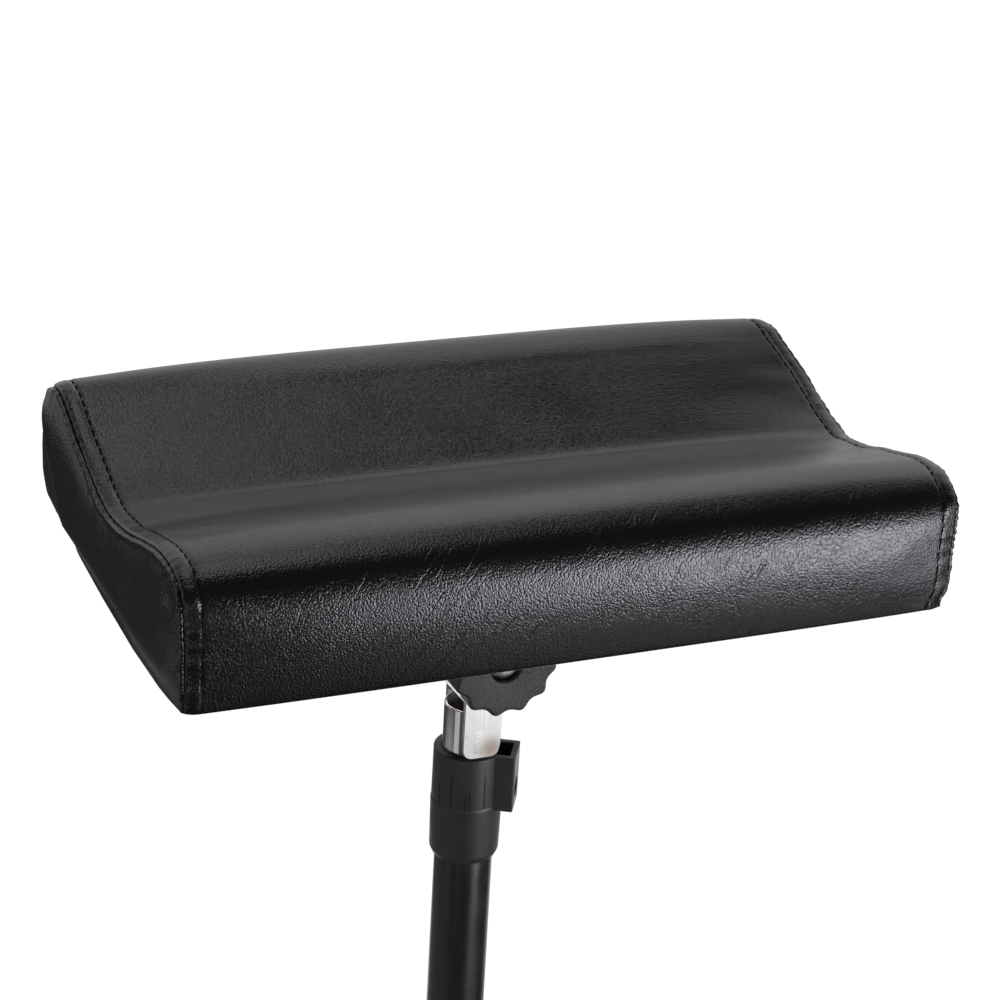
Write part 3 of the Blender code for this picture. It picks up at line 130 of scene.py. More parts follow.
def creaseStrokesGroup():
    # separate long fine lines that lean one way, each with its own length, depth and place
    group, given, result = startGroup("creaseStrokes", [("Turn", 0.0), ("Spacing", 0.005), ("Length", 0.03),
                                      ("Width", 0.0004), ("Share", 0.5), ("Seed", 0.0)], ["Line"], "Skin")
    tree = group
    angle = addNode(tree, "CombineXYZ", {"Z": given["Turn"]}).outputs[0]
    turned = addNode(tree, "Mapping", {"Vector": given["Skin"], "Rotation": angle}).outputs["Vector"]
    bend = addNode(tree, "TexNoise", {"Vector": turned, "Scale": 42.0, "Detail": 3.0}).outputs["Fac"]
    parts = addNode(tree, "SeparateXYZ", {"Vector": turned}).outputs
    across = mathNode(tree, "MULTIPLY_ADD", mathNode(tree, "SUBTRACT", bend, 0.5), 0.0075, parts["Y"])
    lane = mathNode(tree, "DIVIDE", across, given["Spacing"])
    row = mathNode(tree, "FLOOR", lane)
    rowCast = addNode(tree, "TexWhiteNoise", {"Vector": addNode(tree, "CombineXYZ", {
        "X": row, "Y": given["Seed"]}).outputs[0]}, noise_dimensions="3D")
    rowParts = addNode(tree, "SeparateColor", {"Color": rowCast.outputs["Color"]}).outputs
    run = mathNode(tree, "MULTIPLY_ADD", rowParts["Green"], 9.0, mathNode(tree, "DIVIDE", parts["X"], given["Length"]))
    step = mathNode(tree, "FLOOR", run)
    cast = addNode(tree, "TexWhiteNoise", {"Vector": addNode(tree, "CombineXYZ", {
        "X": row, "Y": given["Seed"], "Z": step}).outputs[0]}, noise_dimensions="3D")
    castParts = addNode(tree, "SeparateColor", {"Color": cast.outputs["Color"]}).outputs
    inRow = mathNode(tree, "SUBTRACT", mathNode(tree, "FRACT", lane), 0.5)
    sideways = mathNode(tree, "MULTIPLY", mathNode(tree, "SUBTRACT", castParts["Blue"], 0.5), 0.7)
    away = mathNode(tree, "ABSOLUTE", mathNode(tree, "SUBTRACT", inRow, sideways))
    away = mathNode(tree, "MULTIPLY", away, given["Spacing"])
    line = rangeNode(tree, mathNode(tree, "DIVIDE", away, given["Width"]), 0.0, 1.0, 1.0, 0.0)
    along = mathNode(tree, "ABSOLUTE", mathNode(tree, "SUBTRACT", mathNode(tree, "FRACT", run), 0.5))
    reach = mathNode(tree, "MULTIPLY_ADD", castParts["Green"], 0.30, 0.16)
    taper = rangeNode(tree, mathNode(tree, "DIVIDE", along, reach), 0.15, 1.0, 1.0, 0.0)
    kept = mathNode(tree, "LESS_THAN", cast.outputs["Value"], given["Share"])
    depth = mathNode(tree, "MULTIPLY_ADD", castParts["Red"], 0.75, 0.25)
    line = mathNode(tree, "MULTIPLY", mathNode(tree, "MULTIPLY", line, taper), mathNode(tree, "MULTIPLY", kept, depth))
    tree.links.new(line, result["Line"])
    return group


def hideGrainGroup():
    group, given, result = startGroup("hideGrain", [("Size", 0.0009), ("Creases", 1.0)],
                                      ["Height", "Crease"], "Skin")
    tree = group
    place = given["Skin"]
    scale = mathNode(tree, "DIVIDE", 1.0, given["Size"])
    wobble = addNode(tree, "TexNoise", {"Vector": place, "Scale": 900.0, "Detail": 2.0})
    shift = addNode(tree, "VectorMath", {0: wobble.outputs["Color"], 1: (0.0006,) * 3}, operation="MULTIPLY")
    moved = addNode(tree, "VectorMath", {0: place, 1: shift.outputs[0]}, operation="ADD").outputs[0]
    pebble = addNode(tree, "TexVoronoi", {"Vector": moved, "Scale": scale, "Smoothness": 0.6},
                     feature="SMOOTH_F1").outputs["Distance"]
    fine = addNode(tree, "TexNoise", {"Vector": place, "Scale": 1500.0, "Detail": 2.0}).outputs["Fac"]
    strong = rangeNode(tree, addNode(tree, "TexNoise", {"Vector": place, "Scale": 30.0, "Detail": 3.0}).outputs["Fac"],
                       0.30, 0.70, 0.85, 1.15)
    grain = mathNode(tree, "MULTIPLY_ADD", fine, 0.7, mathNode(tree, "MULTIPLY", pebble, -1.5))
    grain = mathNode(tree, "MULTIPLY", grain, strong)
    patch = addNode(tree, "TexNoise", {"Vector": place, "Scale": 17.0, "Detail": 2.0}).outputs["Fac"]
    patches = rangeNode(tree, patch, 0.38, 0.58, 0.35, 1.0)
    face = rangeNode(tree, addNode(tree, "SeparateXYZ", {"Vector": place}).outputs["Y"], 0.056, 0.082, 1.0, 0.0)
    above = mathNode(tree, "SUBTRACT", 1.0, face)
    strokes = ((face, -0.88, 0.0048, 0.042, 0.00052, 0.44, 1.0, 1.0), (face, -0.72, 0.0064, 0.046, 0.00050, 0.26, 9.0, 0.9),
               (face, -1.12, 0.0042, 0.024, 0.00042, 0.26, 5.0, 0.75), (above, -1.25, 0.0052, 0.030, 0.00050, 0.26, 21.0, 0.9),
               (above, -0.90, 0.0060, 0.034, 0.00048, 0.22, 25.0, 0.9), (above, -1.70, 0.0044, 0.018, 0.00042, 0.18, 29.0, 0.6))
    lines = None
    for where, turn, spacing, length, width, share, seed, weight in strokes:
        drawn = useGroup(tree, creaseStrokes, Skin=place, Turn=turn, Spacing=spacing, Length=length, Width=width,
                         Share=share, Seed=seed)["Line"]
        drawn = mathNode(tree, "MULTIPLY", mathNode(tree, "MULTIPLY", drawn, weight), where)
        lines = drawn if lines is None else mathNode(tree, "MAXIMUM", lines, drawn)
    crease = mathNode(tree, "MULTIPLY", mathNode(tree, "MULTIPLY", lines, patches), given["Creases"])
    tree.links.new(mathNode(tree, "SUBTRACT", grain, mathNode(tree, "MULTIPLY", crease, 2.6)), result["Height"])
    tree.links.new(crease, result["Crease"])
    return group


def mouldGrainGroup():
    group, given, result = startGroup("mouldGrain", [("Size", 0.0005)], ["Height", "Patch"])
    tree = group
    place = addNode(tree, "TexCoord").outputs["Object"]
    scale = mathNode(tree, "DIVIDE", 1.0, given["Size"])
    fine = addNode(tree, "TexNoise", {"Vector": place, "Scale": scale, "Detail": 3.0, "Roughness": 0.6})
    wide = addNode(tree, "TexNoise", {"Vector": place, "Scale": 60.0, "Detail": 4.0})
    tree.links.new(fine.outputs["Fac"], result["Height"])
    tree.links.new(wide.outputs["Fac"], result["Patch"])
    return group


def drawStreaksGroup():
    group, given, result = startGroup("drawStreaks", [("Across", 900.0), ("Along", 18.0)],
                                      ["Streak", "Smudge"])
    tree = group
    place = addNode(tree, "TexCoord").outputs["Object"]
    parts = addNode(tree, "SeparateXYZ", {"Vector": place}).outputs
    drawn = addNode(tree, "CombineXYZ", {
        "X": mathNode(tree, "MULTIPLY", parts["X"], given["Across"]),
        "Y": mathNode(tree, "MULTIPLY", parts["Y"], given["Across"]),
        "Z": mathNode(tree, "MULTIPLY", parts["Z"], given["Along"])}).outputs[0]
    streak = addNode(tree, "TexNoise", {"Vector": drawn, "Scale": 1.0, "Detail": 3.0}).outputs["Fac"]
    smudge = addNode(tree, "TexNoise", {"Vector": place, "Scale": 45.0, "Detail": 5.0}).outputs["Fac"]
    tree.links.new(streak, result["Streak"])
    tree.links.new(smudge, result["Smudge"])
    return group


creaseStrokes = creaseStrokesGroup()
hideGrain = hideGrainGroup()
mouldGrain = mouldGrainGroup()
drawStreaks = drawStreaksGroup()


def startMaterial(name):
    material = bpy.data.materials.new(name)
    material.use_nodes = True
    return material, material.node_tree, material.node_tree.nodes["Principled BSDF"]


def bumpInto(tree, shader, height, distance, strength=1.0):
    bump = addNode(tree, "Bump", {"Height": height, "Distance": distance, "Strength": strength})
    tree.links.new(bump.outputs["Normal"], shader.inputs["Normal"])


def leatherMaterial():
    look = {"dark": (0.0015, 0.0015, 0.0017, 1), "light": (0.0030, 0.0030, 0.0033, 1), "rough": (0.20, 0.24),
            "grain": 0.00088, "bump": 0.00011, "creases": 1.0, "sheen": (0.93, 0.92, 1.0, 1)}
    material, tree, shader = startMaterial("blackLeatherette")
    skin = addNode(tree, "Attribute", attribute_name="skinPlace").outputs["Vector"]
    grain = useGroup(tree, hideGrain, Skin=skin, Size=look["grain"], Creases=look["creases"])
    cloud = addNode(tree, "TexNoise", {"Vector": skin, "Scale": 18.0, "Detail": 4.0}).outputs["Fac"]
    tint = addNode(tree, "Mix", {"Factor": cloud, "A": look["dark"], "B": look["light"]}, data_type="RGBA")
    tree.links.new(tint.outputs["Result"], shader.inputs["Base Color"])
    worn = mathNode(tree, "SUBTRACT", cloud, mathNode(tree, "MULTIPLY", grain["Crease"], 0.2))
    tree.links.new(rangeNode(tree, worn, 0.3, 0.7, *look["rough"]), shader.inputs["Roughness"])
    shader.inputs["Specular Tint"].default_value = look["sheen"]
    bumpInto(tree, shader, grain["Height"], look["bump"])
    return material


def threadMaterial():
    look = {"dark": (0.0022, 0.0022, 0.0024, 1), "light": (0.0075, 0.0075, 0.0080, 1), "ply": 2400.0, "rough": 0.75,
            "shine": 0.04}
    material, tree, shader = startMaterial("blackThread")
    place = addNode(tree, "TexCoord").outputs["Object"]
    ply = addNode(tree, "TexWave", {"Vector": place, "Scale": look["ply"], "Distortion": 2.0})
    tint = addNode(tree, "Mix", {"Factor": ply.outputs["Fac"], "A": look["dark"],
                                 "B": look["light"]}, data_type="RGBA")
    tree.links.new(tint.outputs["Result"], shader.inputs["Base Color"])
    shader.inputs["Roughness"].default_value = look["rough"]
    shader.inputs["Specular IOR Level"].default_value = look["shine"]
    bumpInto(tree, shader, ply.outputs["Fac"], 0.00005)
    return material


def plasticMaterial(name, dark, light, rough, size, bump):
    material, tree, shader = startMaterial(name)
    grain = useGroup(tree, mouldGrain, Size=size)
    tint = addNode(tree, "Mix", {"Factor": grain["Patch"], "A": dark, "B": light}, data_type="RGBA")
    tree.links.new(tint.outputs["Result"], shader.inputs["Base Color"])
    tree.links.new(rangeNode(tree, grain["Patch"], 0.3, 0.7, *rough), shader.inputs["Roughness"])
    bumpInto(tree, shader, grain["Height"], bump)
    return material


def chromeMaterial(name, colour, tintColour, rough, heat=0.0, across=700.0, stain=None):
    material, tree, shader = startMaterial(name)
    marks = useGroup(tree, drawStreaks, Across=across, Along=14.0)
    haze = rangeNode(tree, marks["Smudge"], 0.52, 0.75, 0.0, 1.0)
    if stain:  # a heat mark round one place
        place = addNode(tree, "TexCoord").outputs["Object"]
        away = addNode(tree, "VectorMath", {0: place, 1: stain}, operation="DISTANCE").outputs["Value"]
        haze = mathNode(tree, "MAXIMUM", haze, rangeNode(tree, away, 0.001, 0.0095, 1.0, 0.0))
    tint = addNode(tree, "Mix", {"Factor": mathNode(tree, "MULTIPLY", haze, heat), "A": colour,
                                 "B": tintColour}, data_type="RGBA")
    tree.links.new(tint.outputs["Result"], shader.inputs["Base Color"])
    tree.links.new(rangeNode(tree, marks["Streak"], 0.3, 0.7, *rough), shader.inputs["Roughness"])
    shader.inputs["Metallic"].default_value = 1.0
    bumpInto(tree, shader, marks["Streak"], 0.00002)
    return material


def clothMaterial():
    look = {"dark": (0.012, 0.012, 0.012, 1), "light": (0.04, 0.04, 0.04, 1)}
    material, tree, shader = startMaterial("dustCloth")
    place = addNode(tree, "TexCoord").outputs["Object"]
    fibre = addNode(tree, "TexNoise", {"Vector": place, "Scale": 1400.0, "Detail": 4.0}).outputs["Fac"]
    dimple = addNode(tree, "TexVoronoi", {"Vector": place, "Scale": 420.0}).outputs["Distance"]
    height = mathNode(tree, "MULTIPLY_ADD", dimple, 1.2, fibre)
    tint = addNode(tree, "Mix", {"Factor": fibre, "A": look["dark"], "B": look["light"]}, data_type="RGBA")
    tree.links.new(tint.outputs["Result"], shader.inputs["Base Color"])
    shader.inputs["Roughness"].default_value = 0.92
    bumpInto(tree, shader, height, 0.0002)
    return material


def plyMaterial():
    material, tree, shader = startMaterial("plywood")
    drawn = stretchedPlace(tree, (9.0, 260.0, 900.0))
    grain = addNode(tree, "TexNoise", {"Vector": drawn, "Scale": 1.0, "Detail": 5.0}).outputs["Fac"]
    tint = addNode(tree, "Mix", {"Factor": grain, "A": (0.32, 0.19, 0.09, 1), "B": (0.62, 0.44, 0.26, 1)},
                   data_type="RGBA")
    tree.links.new(tint.outputs["Result"], shader.inputs["Base Color"])
    tree.links.new(rangeNode(tree, grain, 0.3, 0.7, 0.6, 0.8), shader.inputs["Roughness"])
    bumpInto(tree, shader, grain, 0.0001)
    return material


leather = leatherMaterial()
thread = threadMaterial()
knobPlastic = plasticMaterial("knobPlastic", (0.012, 0.012, 0.013, 1), (0.020, 0.020, 0.021, 1),
                              (0.38, 0.50), 0.00060, 0.00030)
collarPlastic = plasticMaterial("collarPlastic", (0.010, 0.010, 0.0105, 1), (0.017, 0.017, 0.018, 1),
                                (0.40, 0.52), 0.00035, 0.00005)
tubePaint = plasticMaterial("tubePaint", (0.0055, 0.0052, 0.0050, 1), (0.0090, 0.0085, 0.0080, 1),
                            (0.22, 0.30), 0.0011, 0.00003)
rubber = plasticMaterial("footRubber", (0.012, 0.012, 0.012, 1), (0.024, 0.024, 0.023, 1),
                         (0.72, 0.88), 0.0007, 0.00012)
chrome = chromeMaterial("chromePlate", (0.80, 0.80, 0.81, 1), (0.66, 0.56, 0.48, 1), (0.07, 0.16))
mastChrome = chromeMaterial("mastChrome", (0.82, 0.80, 0.78, 1), (0.56, 0.47, 0.42, 1), (0.08, 0.20), 0.8, 480.0)
lugChrome = chromeMaterial("lugChrome", (0.87, 0.86, 0.85, 1), (0.42, 0.33, 0.28, 1), (0.10, 0.20), 0.85, 600.0,
                           (0.0050, -0.0165, 0.4690))
# painted shade: a dull dark grey for the inside of the mast tube, where shade falls
boreShadeGrey = plasticMaterial("boreShadeGrey", (0.10, 0.09, 0.09, 1), (0.20, 0.185, 0.18, 1), (0.5, 0.7), 0.0006, 0.00004)
zinc = chromeMaterial("zincPlate", (0.56, 0.56, 0.55, 1), (0.5, 0.48, 0.42, 1), (0.26, 0.42), 0.5)
dustCloth = clothMaterial()
plywood = plyMaterial()
print("materials made")


# Mesh helpers

def addPiece(name, mesh, material, body, replaced=(), sharp=None):
    mesh.materials.clear()
    mesh.materials.append(material)
    mesh.shade_smooth()
    if sharp:
        mesh.set_sharp_from_angle(angle=math.radians(sharp))
    piece = bpy.data.objects.new(name, mesh)
    bpy.context.scene.collection.objects.link(piece)
    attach(piece, body)
    if replaced:
        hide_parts(*replaced)
    return piece


def meshOf(name, points, faces):
    mesh = bpy.data.meshes.new(name)
    mesh.from_pydata([tuple(point) for point in points], [], faces)
    mesh.update()
    return mesh


def bandFaces(rows, columns, closed=True, first=0):
    # quads between rows of points that lie one after the other
    faces = []
    last = columns if closed else columns - 1
    for row in range(rows - 1):
        for column in range(last):
            a = first + row * columns + column
            b = first + row * columns + (column + 1) % columns
            faces.append((a, b, b + columns, a + columns))
    return faces


def filleted(outline, radii, steps=5, closed=True):
    # rounds the corners of an outline; a radius of 0 keeps its corner
    count = len(outline)
    rounded = []
    for i, (corner, radius) in enumerate(zip(outline, radii)):
        if radius == 0 or (not closed and i in (0, count - 1)):
            rounded.append(tuple(corner))
            continue
        here = Vector(corner)
        before = Vector(outline[i - 1]) - here
        after = Vector(outline[(i + 1) % count]) - here
        angle = before.angle(after)
        reach = radius / math.tan(angle / 2)
        start = here + before.normalized() * reach
        end = here + after.normalized() * reach
        centre = here + (before.normalized() + after.normalized()).normalized() * radius / math.sin(angle / 2)
        turn = (end - centre).angle_signed(start - centre)
        for step in range(steps + 1):
            spoke = (start - centre).copy()
            spoke.rotate(Matrix.Rotation(turn * step / steps, 2))
            rounded.append(tuple(centre + spoke))
    return rounded


def turnedMesh(name, profile, steps, matrix=None, ring=False):
    # profile of (radius, height) turned about Z; solid when both ends lie on the axis
    points = []
    faces = []
    rows = [(r, h) for r, h in profile if r > 0]
    for radius, height in rows:
        for step in range(steps):
            angle = 2 * math.pi * step / steps
            points.append(Vector((radius * math.cos(angle), radius * math.sin(angle), height)))
    faces += bandFaces(len(rows), steps)
    if ring:
        last = (len(rows) - 1) * steps
        faces += [(last + i, last + (i + 1) % steps, (i + 1) % steps, i) for i in range(steps)]
    else:
        for row, end in ((0, profile[0]), (len(rows) - 1, profile[-1])):
            points.append(Vector((0.0, 0.0, end[1])))
            tip = len(points) - 1
            for i in range(steps):
                a = row * steps + i
                b = row * steps + (i + 1) % steps
                faces.append((b, a, tip) if row == 0 else (a, b, tip))
    if matrix is not None:
        points = [matrix @ point for point in points]
    mesh = meshOf(name, points, faces)
    return outward(mesh)


def outward(mesh):
    bm = bmesh.new()
    bm.from_mesh(mesh)
    bmesh.ops.recalc_face_normals(bm, faces=bm.faces)
    bm.to_mesh(mesh)
    bm.free()
    return mesh


def joinMeshes(name, meshes):
    bm = bmesh.new()
    for mesh in meshes:
        bm.from_mesh(mesh)
        bpy.data.meshes.remove(mesh)
    joined = bpy.data.meshes.new(name)
    bm.to_mesh(joined)
    bm.free()
    return joined


def lying(direction, origin=(0.0, 0.0, 0.0)):
    # local Z along a direction, local X kept level
    ahead = Vector(direction).normalized()
    level = Vector((0.0, 0.0, 1.0)).cross(ahead)
    level = level.normalized() if level.length > 1e-6 else Vector((1.0, 0.0, 0.0))
    turn = Matrix((level, ahead.cross(level), ahead)).transposed().to_4x4()
    return Matrix.Translation(origin) @ turn


def plateMesh(name, outline, depth, matrix=None):
    # a flat outline in X and Y raised along Z
    count = len(outline)
    points = [Vector((x, y, z)) for z in (0.0, depth) for x, y in outline]
    faces = [tuple(reversed(range(count))), tuple(range(count, 2 * count))]
    faces += [(i, (i + 1) % count, count + (i + 1) % count, count + i) for i in range(count)]
    if matrix is not None:
        points = [matrix @ point for point in points]
    return outward(meshOf(name, points, faces))


def arc(radius, steps, centre=(0.0, 0.0), start=0.0, sweep=2 * math.pi):
    count = steps if abs(sweep) >= 2 * math.pi else steps + 1
    return [(centre[0] + radius * math.cos(start + sweep * i / steps),
             centre[1] + radius * math.sin(start + sweep * i / steps)) for i in range(count)]


def box(x0, x1, y0, y1):
    return [(x0, y0), (x1, y0), (x1, y1), (x0, y1)]


def rodMesh(radius, start, end, matrix, steps=48):
    return turnedMesh("rod", [(0, start), (radius, start), (radius, end), (0, end)], steps, matrix)


def carved(name, base, adds=(), cuts=(), crossings=()):
    # the base after exact Boolean steps
    target = bpy.data.objects.new(name, base)
    bpy.context.scene.collection.objects.link(target)
    tools = []
    for operation, meshes in (("UNION", adds), ("INTERSECT", crossings), ("DIFFERENCE", cuts)):
        for mesh in meshes:
            tool = bpy.data.objects.new(name + "Tool", mesh)
            bpy.context.scene.collection.objects.link(tool)
            modifier = target.modifiers.new(operation, "BOOLEAN")
            modifier.operation = operation
            modifier.solver = "EXACT"
            modifier.object = tool
            tools.append(tool)
    graph = bpy.context.evaluated_depsgraph_get()
    mesh = bpy.data.meshes.new_from_object(target.evaluated_get(graph), depsgraph=graph)
    for item in [target] + tools:
        old = item.data
        bpy.data.objects.remove(item)
        bpy.data.meshes.remove(old)
    mesh.name = name
    return cleaned(mesh)


def cleaned(mesh, flat=0.6):
    bm = bmesh.new()
    bm.from_mesh(mesh)
    bmesh.ops.remove_doubles(bm, verts=bm.verts, dist=0.000004)
    bmesh.ops.dissolve_limit(bm, angle_limit=math.radians(flat), verts=bm.verts, edges=bm.edges)
    bm.to_mesh(mesh)
    bm.free()
    return mesh


def roundEdges(piece, width, angle=34, segments=3):
    bevel = piece.modifiers.new("edges", "BEVEL")
    bevel.width = width
    bevel.segments = segments
    bevel.limit_method = "ANGLE"
    bevel.angle_limit = math.radians(angle)
    bevel.use_clamp_overlap = True
    bevel.harden_normals = True
    return piece


def loftMesh(name, rings, matrix=None, closedEnds=False):
    # a skin through rings of equal count; open ends meet each other unless they are closed flat
    count = len(rings[0])
    points = [Vector(point) for ring in rings for point in ring]
    faces = bandFaces(len(rings), count)
    last = (len(rings) - 1) * count
    if closedEnds:
        faces += [tuple(reversed(range(count))), tuple(range(last, last + count))]
    else:
        faces += [(last + i, last + (i + 1) % count, (i + 1) % count, i) for i in range(count)]
    if matrix is not None:
        points = [matrix @ point for point in points]
    return outward(meshOf(name, points, faces))


def profileOf(node, axis, origin):
    # radius and height of a turned solid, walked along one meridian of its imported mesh
    mesh = frame["nodes"][node].data
    turn = lying(axis, origin).inverted()
    places = [turn @ vertex.co for vertex in mesh.vertices]
    keys = [(round(math.hypot(p.x, p.y), 5), round(p.z, 5)) for p in places]
    links = {}
    for edge in mesh.edges:
        a, b = edge.vertices
        if keys[a] == keys[b]:
            continue
        sweep = places[a].x * places[b].y - places[a].y * places[b].x
        if keys[a][0] > 0 and keys[b][0] > 0 and abs(sweep) > keys[a][0] * keys[b][0] * 0.02:
            continue
        links.setdefault(keys[a], set()).add(keys[b])
        links.setdefault(keys[b], set()).add(keys[a])
    for face in mesh.polygons:  # a flat end without a point on the axis
        corners = [places[i] for i in face.vertices]
        turns = [a.x * b.y - a.y * b.x for a, b in zip(corners, corners[1:] + corners[:1])]
        heights = [corner.z for corner in corners]
        if max(heights) - min(heights) < 0.00002 and (min(turns) > -1e-12 or max(turns) < 1e-12):
            rim = keys[face.vertices[0]]
            if rim[0] > 0.00002:
                links.setdefault(rim, set()).add((0.0, rim[1]))
                links.setdefault((0.0, rim[1]), set()).add(rim)
    ends = sorted(key for key in links if key[0] < 0.00002)
    solid = len(ends) >= 2
    first = ends[0] if solid else min(links)
    walk = [first]
    while True:
        options = [key for key in links[walk[-1]] if key not in walk]
        if not options:
            break
        walk.append(min(options, key=lambda key: math.dist(key, walk[-1])))
        if solid and walk[-1][0] < 0.00002:
            break
    return [(0.0 if r < 0.00002 else r, h) for r, h in walk], solid


def reTurned(node, axis, material, fillet=0.0003, steps=64, origin=None):
    # a turned CAD piece with more facets and rounded edges, in its own place
    low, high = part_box(node)
    origin = Vector(origin) if origin else (low + high) / 2
    profile, solid = profileOf(node, axis, origin)
    radii = []
    for i, (r, h) in enumerate(profile):
        sides = [math.dist(profile[i], profile[j % len(profile)]) for j in (i - 1, i + 1)
                 if not solid or 0 <= j < len(profile)]
        radii.append(0 if solid and i in (0, len(profile) - 1) else min([fillet] + [side * 0.4 for side in sides]))
    rounded = filleted(profile, radii, 3, closed=not solid)
    mesh = turnedMesh(node + "Turned", rounded, steps, lying(axis, origin), ring=not solid)
    return addPiece(node + "Turned", mesh, material, frame["nodes"][node]["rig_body"], [node], 40)


def roundedCopy(node, material, width=0.0004):
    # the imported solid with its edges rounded, for pieces whose shape is already right
    source = frame["nodes"][node]
    mesh = cleaned(source.data.copy())
    piece = addPiece(node + "Rounded", mesh, material, source["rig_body"], [node], 34)
    return roundEdges(piece, width)


# The padded cover

cushion = {
    "half": 0.181,  # middle to end seam
    "centre": -0.011,
    "section": [  # front's lower edge, over both ridges, to the back's lower edge, at an end seam
        (-0.1229, 0.0), (-0.1238, 0.0009), (-0.1241, 0.0035), (-0.1242, 0.0100), (-0.1241, 0.0200),
        (-0.1237, 0.0310), (-0.1222, 0.0440), (-0.1183, 0.0523), (-0.1112, 0.0570), (-0.1010, 0.0590),
        (-0.0850, 0.0580), (-0.0680, 0.0540), (-0.0510, 0.0491), (-0.0340, 0.0446), (-0.0150, 0.0419),
        (0.0010, 0.0430), (0.0190, 0.0477), (0.0354, 0.0543), (0.0470, 0.0600), (0.0585, 0.0652),
        (0.0670, 0.0679), (0.0740, 0.0682), (0.0815, 0.0658), (0.0905, 0.0577), (0.0968, 0.0462),
        (0.0998, 0.0320), (0.1003, 0.0190), (0.0992, 0.0090), (0.0968, 0.0026), (0.0935, 0.0)],
    "middleBack": [  # the section's last points half-way between the ends
        (0.0470, 0.0595), (0.0585, 0.0638), (0.0670, 0.0658), (0.0745, 0.0667), (0.0810, 0.0662), (0.0865, 0.0643),
        (0.0915, 0.0603), (0.0955, 0.0540), (0.0990, 0.0430), (0.1008, 0.0300), (0.1005, 0.0180), (0.0992, 0.0090),
        (0.0968, 0.0026), (0.0935, 0.0)],
    "crown": 0.050,  # how much taller the middle is
    "faceBulge": 0.0030,
    "sideDraw": 0.0012,
    "leftBulge": [(-0.124, 0.0028), (-0.030, 0.0032), (0.030, 0.0048), (0.070, 0.0080), (0.100, 0.0100)],
    "rightBulge": [(-0.124, 0.0040), (0.100, 0.0052)],
    "bulgeReach": 0.0075,
    "backDraw": 0.0046,  # how far the back of the left end's seam is drawn in
    "edgeRound": 0.0014,
    "hang": (0.0012, -0.0065),  # how far the lower edge hangs under the board, and its change with X
    "lean": 0.0034,  # the right end's ridge is this much lower
    "leanAt": [(-0.120, 0.0), (-0.085, 0.15), (-0.050, 0.35), (-0.015, 0.75), (0.030, 0.80), (0.060, 1.0),
               (0.100, 1.0)],
    "rightDraw": [(-0.1242, 0.0040), (-0.1237, 0.0032), (-0.1222, 0.0020), (-0.118, 0.0010), (-0.110, 0.0006),
                  (-0.0985, -0.0018), (-0.084, -0.0020), (-0.051, -0.0010), (-0.034, 0.0), (-0.015, 0.0005),
                  (0.019, -0.0015), (0.035, -0.0012), (0.0585, 0.0024), (0.074, 0.0030), (0.100, 0.0030)],
    "lowerFlare": [(0.0, 0.0), (0.06, 0.0014), (0.12, 0.0022), (0.30, 0.0026), (0.55, 0.0012), (0.80, -0.0010),
                   (0.92, -0.0020), (1.0, -0.0020)],  # how far the left end's lower edge stands out from its seam
    "rightFlare": 0.0032,  # how far the right end's lower edge stands out from its corners
    "columns": 480,
    "topstitch": 0.0082,  # in from the end seam
    "stitch": 0.0060,
    "pressure": 4.0,
    "swellCap": 0.0011,
    "pocket": 0.0132,
}


def evenCurve(points, count):
    # a smooth curve through the points, in even steps of its length
    knots = np.array(points, float)
    padded = np.vstack([2 * knots[0] - knots[1], knots, 2 * knots[-1] - knots[-2]])
    t = np.linspace(0, 1, 24, endpoint=False)[:, None]
    fine = []
    for i in range(len(knots) - 1):
        p0, p1, p2, p3 = padded[i:i + 4]
        fine.append(0.5 * (2 * p1 + (p2 - p0) * t + (2 * p0 - 5 * p1 + 4 * p2 - p3) * t ** 2
                           + (3 * p1 - p0 - 3 * p2 + p3) * t ** 3))
    fine = np.vstack(fine + [knots[-1:]])
    length = np.concatenate([[0], np.cumsum(np.linalg.norm(np.diff(fine, axis=0), axis=1))])
    steps = np.linspace(0, length[-1], count)
    return np.stack([np.interp(steps, length, fine[:, k]) for k in range(2)], axis=1), length[-1]


def smooth(value):
    value = np.clip(value, 0.0, 1.0)
    return value * value * (3 - 2 * value)


def tableAt(table, places):
    return np.interp(places, [row[0] for row in table], [row[1] for row in table])


def coverRow(x, section):
    half = cushion["half"]
    share = abs(x) / half
    off = half - abs(x)
    ends, middle = section
    flat = ends[:, 0]
    section = ends + (middle - ends) * (1 - share ** 4)
    y = section[:, 0].copy()
    rise = section[:, 1]
    z = rise * (1 + cushion["crown"] * (1 - share ** 4))
    side = (y - cushion["centre"]) / 0.1125
    y += side * cushion["sideDraw"] * (1 - share ** 4)
    face = np.clip(rise / 0.058, 0, 1)
    front = smooth((-0.106 - flat) / 0.012)
    y -= cushion["faceBulge"] * (1 - share ** 4) * 4 * face * (1 - face) * front
    rounding = cushion["edgeRound"] * max(0.0, 1 - off / 0.007) ** 2
    inward = np.gradient(section, axis=0)
    inward /= np.linalg.norm(inward, axis=1)[:, None]
    y += inward[:, 1] * rounding
    z = np.maximum(z - inward[:, 0] * rounding, 0.0)
    right = (x / half + 1) / 2
    z -= cushion["lean"] * right * tableAt(cushion["leanAt"], flat) * smooth(rise / 0.030)
    low = smooth(1 - rise / 0.022)
    z -= (cushion["hang"][0] + cushion["hang"][1] * x) * low
    y -= 0.006 * low * share ** 8 * smooth((flat - 0.05) / 0.04)
    drawn = tableAt(cushion["rightDraw"], flat) + 0.0038 * smooth(1 - rise / 0.012) * (flat < 0)
    places = x - drawn * smooth((x - half + 0.055) / 0.055)
    places = places + cushion["backDraw"] * smooth((flat - 0.080) / 0.014) * smooth((-x - half + 0.04) / 0.04)
    return np.stack([places, y, z], axis=1)


